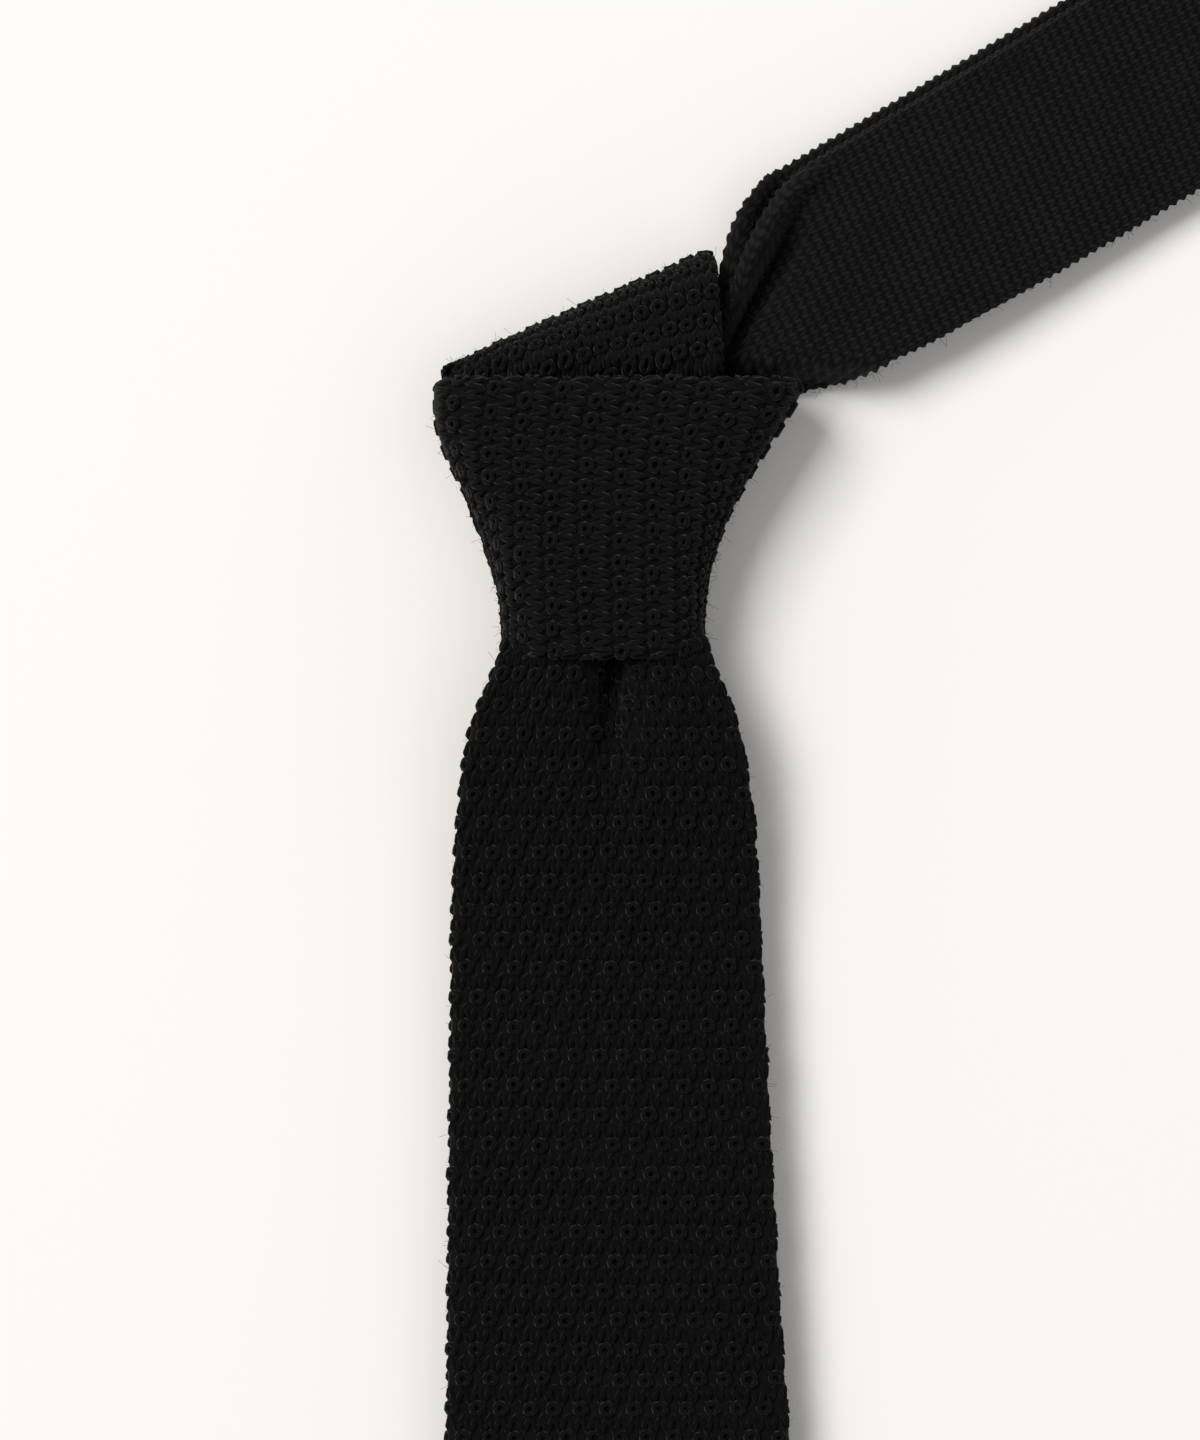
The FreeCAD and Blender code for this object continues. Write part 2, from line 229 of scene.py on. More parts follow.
def through(places, values):
    """A function that runs smoothly through the values: the cubic spline with free ends.

    The slopes m solve m[i-1] + 4 m[i] + m[i+1] = 3 (v[i+1] - v[i-1]) on the index, which
    itself comes from the place by straight lines, so the curve is smooth where the places are even.
    """
    places, values = np.array(places, float), np.array(values, float)
    count = len(places)
    beside = np.ones(count - 1)
    matrix = np.diag(np.full(count, 4.0)) + np.diag(beside, 1) + np.diag(beside, -1)
    right = 3 * (np.roll(values, -1) - np.roll(values, 1))
    matrix[0, :2], matrix[-1, -2:] = (2, 1), (1, 2)
    right[0], right[-1] = 3 * (values[1] - values[0]), 3 * (values[-1] - values[-2])
    slope = np.linalg.solve(matrix, right)

    def curve(at):
        """The cubic between two values v and w with slopes m and n, at t of the way."""
        k = np.interp(at, places, np.arange(count))
        i = np.clip(k.astype(int), 0, count - 2)
        t = k - i
        step = values[i + 1] - values[i]
        return (values[i] + t * slope[i] + t**2 * (3 * step - 2 * slope[i] - slope[i + 1])
                + t**3 * (slope[i] + slope[i + 1] - 2 * step))

    return curve


# %% [markdown]
# ## A pressed tube of knitting
# Each span of the tie is the same thing: a tube pressed flat. It is described by the sheet that runs through
# the middle of its thickness, half as wide as the cloth's two faces are, and by how thick it is. Places on
# the cloth are given by the cloth itself: how far along, which part of the way around, and how far outwards.
# So the same yarn can be laid on the straight blade, around the knot or over the neckband.

# %% Span of cloth
SHEET_COLUMNS = 81  # how finely a middle sheet is divided across
EDGE_STEP = 0.02  # the small step that gives the direction across


class Span:
    """A pressed tube along a middle sheet.

    The sheet is a grid of points over along (millimetres) and across (-1 left edge, +1 right edge). It
    reaches a little past both edges. Its normal is along x across. Around the tube, share 0 is the left
    edge, share front is the right edge and share 1 is the left edge again: the front face lies between 0
    and front.
    """

    def __init__(self, along, sheet, half_width, half_thickness, front=0.5, reach=1.25):
        self.along, self.reach, self.front = along, reach, front
        self.across = np.linspace(-reach, reach, SHEET_COLUMNS)
        self.sheet = sheet(along[:, None], self.across[None, :])
        down, over = np.gradient(self.sheet, axis=0), np.gradient(self.sheet, axis=1)
        self.normal = unit(np.cross(down, over))
        self.half_width = np.broadcast_to(half_width, along.shape)
        self.half_thickness = np.broadcast_to(half_thickness, along.shape)

    def at(self, grid, along, across):
        """Straight interpolation on the sheet's grid, just inside its last row and column."""
        rows, columns = len(self.along) - 1, len(self.across) - 1
        i = np.clip((along - self.along[0]) / (self.along[1] - self.along[0]), 0, rows - 0.001)
        j = np.clip((across + self.reach) / (2 * self.reach) * columns, 0, columns - 0.001)
        i0, j0 = i.astype(int), j.astype(int)
        s, t = (i - i0)[..., None], (j - j0)[..., None]
        near = grid[i0, j0] * (1 - t) + grid[i0, j0 + 1] * t
        far = grid[i0 + 1, j0] * (1 - t) + grid[i0 + 1, j0 + 1] * t
        return near * (1 - s) + far * s

    def place(self, along, share, out):
        """Points and outward directions at a place along, a share of the way around, and a height out.

        The pressed tube's outline is two straight faces joined by half circles of the half thickness c:
        going around from an edge, X = -b - c cos p + m + c sin q and Z = c (sin p + cos q - 1), where p and
        q are the angles on the first and the second quarter circle and m is the way along the straight.
        """
        along, share, out = np.broadcast_arrays(along, share, out)
        half = np.interp(along, self.along, self.half_width)
        c = np.interp(along, self.along, self.half_thickness)
        share = share % 1.0
        face = np.where(share < self.front, 1.0, -1.0)
        part = np.where(share < self.front, share / self.front, (1 - share) / (1 - self.front))
        b = half - c
        way = part * (math.pi * c + 2 * b)
        p = np.clip(way / c, 0, math.pi / 2)
        q = np.clip((way - math.pi * c / 2 - 2 * b) / c, 0, math.pi / 2)
        m = np.clip(way - math.pi * c / 2, 0, 2 * b)
        side, up = np.sin(q) - np.cos(p), face * (np.sin(p) + np.cos(q) - 1)
        across = (-b + m + (c + out) * side) / half
        middle = self.at(self.sheet, along, across)
        normal = unit(self.at(self.normal, along, across))
        over = (self.at(self.sheet, along, across + EDGE_STEP)
                - self.at(self.sheet, along, across - EDGE_STEP))
        outwards = unit(side[..., None] * unit(over) + up[..., None] * normal)
        return middle + ((c + out) * up)[..., None] * normal, outwards

    def body(self, start, end, step, columns, out):
        """The soft body under the yarn, from start to end along, as one tube's grid of points."""
        rows = max(int(round((end - start) / step)), 2) + 1
        along = np.linspace(start, end, rows)[:, None]
        share = (np.arange(columns) / columns)[None, :]
        height = out(along, share) if callable(out) else out
        return self.place(along, share, height)[0][None]

# %% [markdown]
# ## Loops of yarn
# On the real cloth each row holds two kinds of stitch. One yarn comes forward at every second column, turns
# once into a small open ring and dives again. Under it another yarn runs down and up in short slanted legs,
# which make a V below each ring. The rings of the next row stand half a pitch to the side. Here the same
# two paths are repeated along the row and given a round section, so the holes, the legs and the bumps along
# the edges are all real shape.

# %% Paths of the stitches
def ring_path(width, length):
    """A ring as points (across, along, out) in millimetres, from behind the cloth to behind the cloth.

    It is a circle of RING_RADIUS that starts and ends just either side of its lowest point, higher at
    its lower side. width is the room from ring to ring, and along grows downwards.
    """
    turn = np.radians(np.linspace(252, -72, 9))
    ring = np.stack([RING_RADIUS * np.cos(turn), -RING_RADIUS * np.sin(turn), 0.36 - 0.1 * np.sin(turn)], -1)
    left = np.array([(-width / 2, 0.2 * length, -1.2), (-0.62, 1.0, -0.55)])
    return np.concatenate([left, ring, left[1:] * (-1, 1, 1)])


def leg_path(width, length):
    """Two V stitches: one below the ring and one above the ring of the next row, half a width away.

    Each leg runs from wide apart at the top to close together at the bottom, and dives under its neighbour
    at both ends.
    """
    v = np.array([(-0.24, 0.24, -0.15), (-0.17, 0.42, 0.15), (-0.08, 0.66, 0.2), (0.0, 0.84, -0.2),
                  (0.08, 0.66, 0.2), (0.17, 0.42, 0.15)])
    path = np.concatenate([v - (0.25, 0, 0), v + (0.25, 0, 0)])
    return path * (width, length, 1)


# %% [markdown]
# ## One yarn for each row
# A stitch is a few points, and a row repeats them around the tube. A pentagon carried along them is round
# enough for wool, and cheap enough for thousands of stitches. No two stitches of real wool are alike, so each
# one is moved, lifted and thickened a little, from a seeded dice.

# %% Yarn on a span
YARN_SIDES = 5
STRAY = (0.11, 0.12, 0.07)  # how far a stitch strays across, along and outwards, in millimetres
STITCH_SPREAD, YARN_SPREAD = 0.05, 0.045  # of a stitch's size and of the yarn's thickness, as parts of one


def yarn(name, span, rows, columns, room, path=ring_path, phase=0.0, part=None, seed=1, press=1.0):
    """Rows of stitches on a span, each row one yarn: a circle carried along the stitch paths.

    columns is how many stitches go once around, and part = (first, last) keeps only some of them, in
    which case the yarn is open. Odd rows stand half a pitch further on. press flattens the stitches where
    the cloth is lain on. The section's two directions are B = N x T and C = B x T, where T is the yarn's
    direction and N points out of the cloth.
    """
    dice = np.random.default_rng(seed)
    whole = part is None
    first, last = (0, columns) if whole else part
    number = np.arange(first, last)
    pattern = path(*room)
    rows = np.asarray(rows, float)
    shape = (len(rows), len(number), len(pattern))
    odd = (np.arange(len(rows)) % 2)[:, None, None] * 0.5
    shift = dice.normal(0, STRAY, (*shape[:2], 3))
    size = dice.normal(1, STITCH_SPREAD, shape[:2])[..., None]
    inside = np.minimum(np.arange(len(pattern)), 1)
    across = (pattern[:, 0] * (1 + (size - 1) * inside) + shift[..., :1] * inside) / room[0]
    share = (number[None, :, None] + odd + phase + across) / columns
    along = rows[:, None, None] + pattern[:, 1] + (pattern[:, 1] * (size - 1) + shift[..., 1:2]) * inside
    out = (pattern[:, 2] + shift[..., 2:] * inside) * press
    flat = (shape[0], shape[1] * shape[2])
    line, normal = span.place(along.reshape(flat), share.reshape(flat), out.reshape(flat))
    if whole:
        tangent = unit(np.roll(line, -1, axis=1) - np.roll(line, 1, axis=1))
    else:
        tangent = unit(np.gradient(line, axis=1))
    side = unit(np.cross(normal, tangent))
    up = np.cross(side, tangent)
    spread = dice.normal(1, YARN_SPREAD, shape[:2])
    thick = YARN_RADIUS * np.repeat(spread, len(pattern), axis=1)[..., None, None]
    angle = np.linspace(0, 2 * math.pi, YARN_SIDES, endpoint=False)[:, None]
    circle = np.cos(angle) * side[:, :, None] + np.sin(angle) * up[:, :, None]
    return piece(name, line[:, :, None] + thick * circle, loop_along=whole, texture=(0.55, 1 / YARN_SIDES))


def knitting(name, span, rows, columns, room, **how):
    """Both yarns of the ring knit on a span."""
    return [yarn(f"{name}_rings", span, rows, columns, room, ring_path, **how),
            yarn(f"{name}_legs", span, rows, columns, room, leg_path, **how)]


# %% [markdown]
# ## Wool
# Black wool isn't flat black. The yarn is two twisted strands of hairy fibre, so it takes a soft light at its
# rim and sinks to nothing in the holes. The colour is very dark and slightly uneven, the shine is almost
# none, and a little sheen stands for the fibre ends that catch the light. The twist is a slanted ripple that
# runs along each yarn on its own UV map.

# %% Sums with sockets
class Value:
    """A socket in a node tree. Arithmetic on it adds Math nodes."""

    def __init__(self, shader, socket):
        self.shader, self.socket = shader, socket

    def math(self, operation, *others):
        """A Math node of an operation on this value and the others."""
        return self.shader.add("ShaderNodeMath", {"operation": operation}, dict(enumerate((self, *others))))

    def __add__(self, other):
        return self.math("ADD", other)

    def __sub__(self, other):
        return self.math("SUBTRACT", other)

    def __mul__(self, other):
        return self.math("MULTIPLY", other)

    def __rsub__(self, other):
        return self.shader.add("ShaderNodeMath", {"operation": "SUBTRACT"}, {0: other, 1: self})

    __radd__ = __add__
    __rmul__ = __mul__

    def sin(self):
        """The sine, of an angle in radians."""
        return self.math("SINE")


# %% [markdown]
# ## Building a material
# One class holds a material and its Principled BSDF. A number that is the same all over the surface is set on
# the shader's own socket. Whatever varies is a chain of nodes, and each node comes from one method.

# %% Shader
class Shader:
    """A material under construction around one Principled BSDF."""

    def __init__(self, name, **constants):
        self.material = bpy.data.materials.new(name)
        self.material.use_nodes = True
        self.nodes, self.links = self.material.node_tree.nodes, self.material.node_tree.links
        self.surface = self.nodes["Principled BSDF"]
        for key, value in constants.items():
            self.surface.inputs[key.replace("_", " ")].default_value = value

    def add(self, kind, settings=None, inputs=None, output=0):
        """A node of a type: settings first, then its inputs, each a number, a colour or a Value."""
        node = self.nodes.new(kind)
        for key, value in (settings or {}).items():
            if key == "stops":
                for element, (place, colour) in zip(node.color_ramp.elements, value):
                    element.position, element.color = place, colour
            else:
                setattr(node, key, value)
        for key, value in (inputs or {}).items():
            if isinstance(value, Value):
                self.links.new(value.socket, node.inputs[key])
            else:
                node.inputs[key].default_value = value
        return Value(self, node.outputs[output])

    def feed(self, socket, value):
        """Links a value to a socket of the surface."""
        self.links.new(value.socket, self.surface.inputs[socket])

    def mix(self, factor, dark, light):
        """A colour between two, by a factor."""
        inputs = {"Factor": factor, 6: dark, 7: light}
        return self.add("ShaderNodeMix", {"data_type": "RGBA"}, inputs, output=2)

    def bump(self, height, distance, strength=1.0, normal=None):
        """A Bump node: height from 0 to 1 times distance in metres, on top of another normal."""
        inputs = {"Height": height, "Distance": distance, "Strength": strength}
        if normal:
            inputs["Normal"] = normal
        return self.add("ShaderNodeBump", None, inputs)


def grey(level, warmth=0.02):
    """A nearly neutral colour, a little warmer than grey."""
    return (level * (1 + warmth), level, level * (1 - warmth), 1.0)


# %% [markdown]
# ## The wools
# Each yarn gets its own wool. A slow noise makes the colour uneven and a fine one is the fibre. The fine knit's
# stitches are V-shaped: across a column the sine of its UV is high on the two legs, and along it a cosine, bent
# by the distance from the column's middle, is low between two stitches. Their product is painted shade and
# light: it darkens the colour in the gaps, where the relief's shade falls, and lightens it on the stitches.

# %% Wools
STRAND = 0.95  # how far along the UV map the twist turns once
LEG_SLOPE = 0.45  # how far a leg of the fine knit leans, in stitches


def wool(name, level, twist=0.0, fibre=5200.0, sheen=0.18, stitches=False):
    """Black wool: level is its mean colour, twist the depth of the strands' ripple in metres.

    fibre is how fine the hairs are. stitches paints shade into the colour between the bumps of a fine knit,
    whose UV counts courses and columns, and paints the bumps lighter.
    """
    shader = Shader(name, Roughness=0.92, Specular_IOR_Level=0.12, Sheen_Weight=sheen, Sheen_Roughness=0.42,
                    Sheen_Tint=grey(0.35))
    place = shader.add("ShaderNodeTexCoord", output=3)
    cloud = shader.add("ShaderNodeTexNoise", None, {"Vector": place, "Scale": 160.0, "Detail": 2.0})
    hair = shader.add("ShaderNodeTexNoise", None,
                      {"Vector": place, "Scale": fibre, "Detail": 2.0, "Roughness": 0.6})
    tone_and_painted_shade = cloud * 0.6 + hair * 0.9 - 0.25
    # painted shade and light: with stitches the colour spans wider, darker in the gaps and lighter on the
    # stitches
    dark, light = (0.15, 2.3) if stitches else (0.45, 1.55)
    if stitches:
        count = shader.add("ShaderNodeUVMap", {"uv_map": "cloth"})
        course = shader.add("ShaderNodeSeparateXYZ", None, {0: count})
        beside = (Value(shader, course.socket.node.outputs[1]) + 0.5).math("FRACT") * 2 - 1
        legs = (beside * math.pi).sin().math("ABSOLUTE")
        row = course + beside.math("ABSOLUTE") * LEG_SLOPE
        rows = (row * (2 * math.pi)).math("COSINE") * 0.5 + 0.5
        own = shader.add("ShaderNodeTexNoise", None, {"Vector": count, "Scale": 1.7, "Detail": 1.0})
        # painted shade: the stitch pattern darkens the colour between the stitches and lightens it on their
        # legs
        tone_and_painted_shade = tone_and_painted_shade * (legs * rows * (own * 5.6 - 0.5) + 0.1)
    shader.feed("Base Color", shader.mix(tone_and_painted_shade, grey(level * dark), grey(level * light)))
    relief = shader.bump(hair, 0.00016, 0.55)
    if twist:
        cloth = shader.add("ShaderNodeUVMap", {"uv_map": "cloth"})
        split = shader.add("ShaderNodeSeparateXYZ", None, {0: cloth})
        around = Value(shader, split.socket.node.outputs[1])
        ripple = (split * (2 * math.pi / STRAND) + around * (4 * math.pi)).sin()
        relief = shader.bump(ripple, twist, 0.8, relief)
    shader.feed("Normal", relief)
    return shader.material


def fabric(thing, material):
    """Gives a piece its material."""
    thing.data.materials.append(material)
    return thing


TWIST = 0.00007
ring_wool = wool("ring_wool", 0.0026, twist=TWIST)
# painted shade: the soft bodies under the yarn get a darker copy of the wool, for the shade in the holes and
# between the stitches
under_wool_painted_shade = wool("under_wool_painted_shade", 0.0016)
# painted shade between its stitches, from the stitch pattern in wool()
band_wool = wool("band_wool", 0.0040, fibre=4200.0, stitches=True)
hair_wool = wool("hair_wool", 0.007, sheen=0.2)
# painted shade: the blade's rings get a darker copy of ring_wool, because the blade takes less light than the
# knot
blade_wool_painted_shade = wool("blade_wool_painted_shade", 0.0017, twist=TWIST)
# painted shade: the legs get a darker copy of the blade's wool, because they lie deeper than the rings
leg_wool_painted_shade = wool("leg_wool_painted_shade", 0.0009, twist=TWIST, sheen=0.12)  # the legs lie deeper than the rings
thread = wool("sewing_thread", 0.006, fibre=9000.0, sheen=0.05)

# %% [markdown]
# ## Threads and loose fibres
# A sewing thread and a stray fibre are the same shape at two sizes: a thin tube along a line. Loose fibres
# soften the outline, and without them wool looks like plastic. A hair is only four points with three sides.

# %% Threads
def thread_lines(name, line, radius, material=None, sides=6):
    """A round thread along one or more lines of points[line, point, xyz].

    Its section turns with the line: B = T x a fixed direction near the line's own normal, C = B x T.
    """
    tangent = unit(np.gradient(line, axis=1))
    side = unit(np.cross(tangent, (0.13, 0.21, 0.97)))
    up = np.cross(side, tangent)
    angle = np.linspace(0, 2 * math.pi, sides, endpoint=False)[:, None]
    circle = np.cos(angle) * side[:, :, None] - np.sin(angle) * up[:, :, None]
    thing = piece(name, line[:, :, None] + radius * circle, texture=(0.3, 1 / sides))
    return fabric(thing, material or thread)


def fuzz(name, span, count, start, end, share=(0.0, 0.5), seed=1):
    """Loose fibre ends: short bent hairs, each a three-sided thread of four points.

    A hair starts at a random place on the cloth, and point t stands at l (t d + t^2 e), where d is mostly
    outwards, e is a random bend and l a random length.
    """
    dice = np.random.default_rng(seed)
    root, out = span.place(dice.uniform(start, end, count), dice.uniform(*share, count), 0.25)
    ahead, bend = unit(0.55 * out + dice.normal(0, 0.6, (count, 3))), dice.normal(0, 0.45, (count, 3))
    length = dice.uniform(0.5, 1.5, (count, 1, 1))
    t = np.linspace(0, 1, 4)[None, :, None]
    return thread_lines(name, root[:, None] + length * (t * ahead[:, None] + t**2 * bend[:, None]), 0.026,
                        hair_wool, sides=3)


# %% [markdown]
# ## Sheets
# Every span is cloth that was flat once. One function works out its size before it was folded, laid or
# gathered, for a body and the yarns on it, and does nothing more with it.

# %% Sheets of cloth
def cut_cloth(body, width, length, others=(), share=1.0):
    """Works out the flat size and area of a sheet from the size in millimetres of the tube pressed double;
    nothing uses them.

    share is how much of width times length the cut fills, and others are the yarns, hairs and seams on it.
    """
    flat = (width * MM, length * MM)
    area = share * flat[0] * flat[1]
    list(others)


# %% [markdown]
# ## The table
# A plain pale sheet, not quite white. It isn't part of the tie. It lies a hair below the frame, because the
# rings on the underside stand a little further out than the solids do.

# %% Table
TABLE_REACH = 3.0
ROOM_BELOW = 0.2 * MM


def table():
    """A flat square far larger than the tie."""
    mesh = bpy.data.meshes.new("table")
    square = np.array([(-1, -1, 0), (1, -1, 0), (1, 1, 0), (-1, 1, 0)]) * TABLE_REACH
    mesh.from_pydata(square.tolist(), [], [(0, 1, 2, 3)])
    thing = bpy.data.objects.new("table", mesh)
    thing.location.z = min(cad_box[0][2], 0) - ROOM_BELOW
    bpy.context.collection.objects.link(thing)
    paper = Shader("paper", Roughness=0.9, Specular_IOR_Level=0.2)
    paper.surface.inputs["Base Color"].default_value = (0.86, 0.838, 0.81, 1)
    mesh.materials.append(paper.material)


table()

# %% [markdown]
# ## The front blade
# The blade comes out from under the knot's front band, 33 mm wide, and opens to 60 mm. Just below the knot
# its middle sinks into a dimple. From there it comes down to lie on the tail behind it, and its edges hang a
# little. The outline is a table of half widths with a smooth curve through them, and the height is a sum of
# smooth steps, because each step then has one plain reason: the knot, the tail, the table.

# %% Shape of the blade
BLADE_OUTLINE = ((12, 14.9), (16, 15.0), (20, 16.0), (26, 18.2), (32, 20.6), (39, 22.2), (48, 23.3), (60, 24.2),
                 (86, 25.0), (115, 25.9), (144, 27.0), (185, 28.8), (230, 29.6), (300, 29.7), (blade_end, 29.7))
blade_half = through(*zip(*BLADE_OUTLINE))
STRAIGHT_FROM = 144.0  # the blade's middle line bends gently up to here, then runs straight
BEND_FROM, MIDDLE_BEND = 22.0, 1.34e-4
BRIDGE_Z, BRIDGE_FROM, BRIDGE_TO = 9.0, 70.0, 150.0  # near the knot the blade stands off the table
FLAT_AT = 210.0  # from here on it lies on the tail
blade_rest_z = tail_high[2] + 1.9
tip_z = (tip_low[2] + tip_high[2]) / 2 + 0.4  # the rings underneath stand on the table
fold_line = -joint_place("blade_tip_fold")[1]
HALF_FOLD = 14.0
DIMPLE_AT, DIMPLE_DEEP, DIMPLE_WIDE = 0.8, 7.4, 3.4
SHOULDER_AT, SHOULDER_HIGH, SHOULDER_WIDE = 8.8, 1.2, 4.6  # beside the dimple the cloth swells
EDGE_DROOP = 0.8


def blade_middle(along):
    """Sideways place of the middle line: a parabola, then its tangent."""
    bent = np.minimum(along, STRAIGHT_FROM) - BEND_FROM
    return MIDDLE_BEND * bent**2 + 2 * MIDDLE_BEND * bent * np.maximum(along - STRAIGHT_FROM, 0)


def dimple_depth(along):
    """From 1 at the belt to 0, in a steep smooth step and a slow one."""
    return 0.6 * smooth(along, 38, 24) + 0.4 * smooth(along, 54, 28)


def valley(x, width):
    """1 in the dimple's middle, with a flat floor: exp(-(x / width)^4)."""
    return np.exp(-(((x - DIMPLE_AT) / width) ** 4))


def blade_sheet(along, across):
    """x follows the middle line and the outline, and y runs down.

    z comes down from the knot in three smooth steps: to a low bridge, onto the tail, and onto the table. The
    dimple is a valley exp(-(x / w)^4) between two shoulders exp(-((|x| - s) / w)^2), deep at the belt and
    gone 30 mm below it. The edges droop by |across|^3, and a slow ripple sin runs along them.
    """
    half = blade_half(along)
    x = across * half
    z = lift_hinge[2] + (BRIDGE_Z - lift_hinge[2]) * smooth(along, -lift_hinge[1], BRIDGE_FROM)
    z = z + (blade_rest_z - BRIDGE_Z) * smooth(along, BRIDGE_TO, FLAT_AT)
    z = z + (tip_z - blade_rest_z) * smooth(along, fold_line + 12, fold_line + 54)
    shoulders = np.exp(-(((np.abs(x - DIMPLE_AT) - SHOULDER_AT) / SHOULDER_WIDE) ** 2))
    z = z + dimple_depth(along) * (SHOULDER_HIGH * shoulders - DIMPLE_DEEP * valley(x, DIMPLE_WIDE))
    lying = smooth(along, 26, 50) * smooth(along, fold_line + 40, fold_line - 60)
    z = z - EDGE_DROOP * np.abs(across) ** 3 * lying
    ripple = 0.35 * np.sin(along / 17.0 + 1.4 * across) * across**2 * smooth(along, 40, 90)
    return np.stack(np.broadcast_arrays(x + blade_middle(along), -along, z + ripple), -1)


blade_along = np.linspace(12, blade_end + 6, 480)
RINGS_AROUND, RINGS_IN_FRONT = 26, 13.25
blade = Span(blade_along, blade_sheet, blade_half(blade_along), BLADE_HALF_THICKNESS,
             front=RINGS_IN_FRONT / RINGS_AROUND)
blade_rows = np.arange(ROW_AT - 16 * ROW_PITCH, blade_end - 1.0, ROW_PITCH)
print("blade rows", len(blade_rows))

# %% [markdown]
# ## The blade's lengths
# The blade is made in three lengths that meet at the lines where it can bend: at the knot, where it lifts, and
# above the tip, where it folds. A soft body lies under the yarns and closes the holes to the dark inside. The
# top and the tip lengths are baked where they stand, and the middle one hangs on the front blade's body.

# %% Lengths of the blade
BLADE_BODY_COLUMNS = 120
ROWS_PER_PIECE = 44


def under_relief(along, share):
    """The body is -0.05 - 0.05 cos(2 pi along / row pitch) high, and fills the rings at the edges."""
    to_edge = np.minimum(np.minimum(share, 1 - share), np.abs(share - blade.front)) * BLADE_BODY_COLUMNS
    rows = np.cos(2 * math.pi * (along - ROW_AT) / ROW_PITCH)
    return -0.05 - 0.05 * rows + 0.35 * np.exp(-((to_edge / 2.2) ** 2))


def blade_length(name, start, end, number):
    """The body of one length of the blade and the rows of yarn that start on it."""
    points = blade.body(start, end, 1.2, BLADE_BODY_COLUMNS, under_relief)
    body = fabric(piece(name, points), under_wool_painted_shade)
    chosen = np.nonzero((blade_rows >= start - 1) & (blade_rows < end - 1))[0]
    parts = [body]
    for turn, rows in enumerate(np.array_split(chosen, math.ceil(len(chosen) / ROWS_PER_PIECE))):
        parity = 0.5 * (rows[0] % 2)
        yarns = knitting(f"{name}_{turn + 1}", blade, blade_rows[rows], RINGS_AROUND, (RING_PITCH, ROW_PITCH),
                         phase=parity + 0.25, seed=number * 10 + turn)
        parts += [fabric(each, look) for each, look in zip(yarns, (blade_wool_painted_shade, leg_wool_painted_shade))]
    return parts


def bend_over(parts, start, end):
    """Bakes each piece's place into its mesh; start and end, places down the blade, give two points that
    nothing uses.
    """
    before, after = ((0, -place * MM, lift_hinge[2] * MM) for place in (start, end))
    for part in parts:
        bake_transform(part)
        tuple(before)
        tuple(after)


BLADE_FROM, UPPER_SPLIT = 16, 196.0
LIFT_FROM, LIFT_TO = 20, 38  # where the cloth turns when the blade is lifted
upper = blade_length("front_blade_upper_cloth", BLADE_FROM, UPPER_SPLIT, 1)
upper.append(fuzz("front_blade_upper_hairs", blade, 3600, BLADE_FROM + 1, UPPER_SPLIT,
                  (0.0, blade.front), 71))
lower = blade_length("front_blade_middle_cloth", UPPER_SPLIT, fold_line - HALF_FOLD, 2)
tip = blade_length("front_blade_tip_cloth", fold_line - HALF_FOLD, blade_end - 0.6, 3)
bend_over(upper, LIFT_FROM, LIFT_TO)
for part in lower:
    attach(part, "front_blade")
bend_over(tip, fold_line - HALF_FOLD, fold_line + HALF_FOLD)
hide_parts("front_blade_upper")
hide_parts("front_blade_lower")

# %% [markdown]
# ## The knot's belt
# The last pass of the knot goes over the front from right to left and closes behind. Seen from above it is a
# funnel: 60 mm wide along its top, 33 mm at the bottom. The knit runs sideways here, so the rows of rings
# stand upright, and near the sides they crowd together and lean with the outline.

# %% Shape of the belt
BELT_OUTLINE = ((-24, 2.9, 30.8), (-21, 2.1, 29.7), (-17, 1.0, 28.5), (-12, 0.0, 26.3), (-7, -0.3, 23.6),
                (-2, -0.4, 21.0), (2.5, -0.5, 19.2), (7, -0.6, 17.7), (12, -0.4, 16.7), (17, -0.3, 16.2),
                (24, 0.0, 16.4))  # height, middle and half width over the yarn
YARN_STANDS_OUT = 1.85
belt_rows, belt_middles, belt_halves = np.array(BELT_OUTLINE, float).T
belt_middle = through(belt_rows, belt_middles)
belt_half = through(belt_rows, belt_halves - YARN_STANDS_OUT)
belt_reach = (knot_top - knot_bottom) / 2
BELT_RADIUS = 6.4  # half the height between the middles of the front and back passes
belt_z = (knot_height + corners("knot_back_wrap")[0][2]) / 2
# half the front at the top edge
BELT_RUN = float(belt_half(-belt_reach)) - BELT_RADIUS + BELT_RADIUS * math.pi / 2
CROWD = 1.4


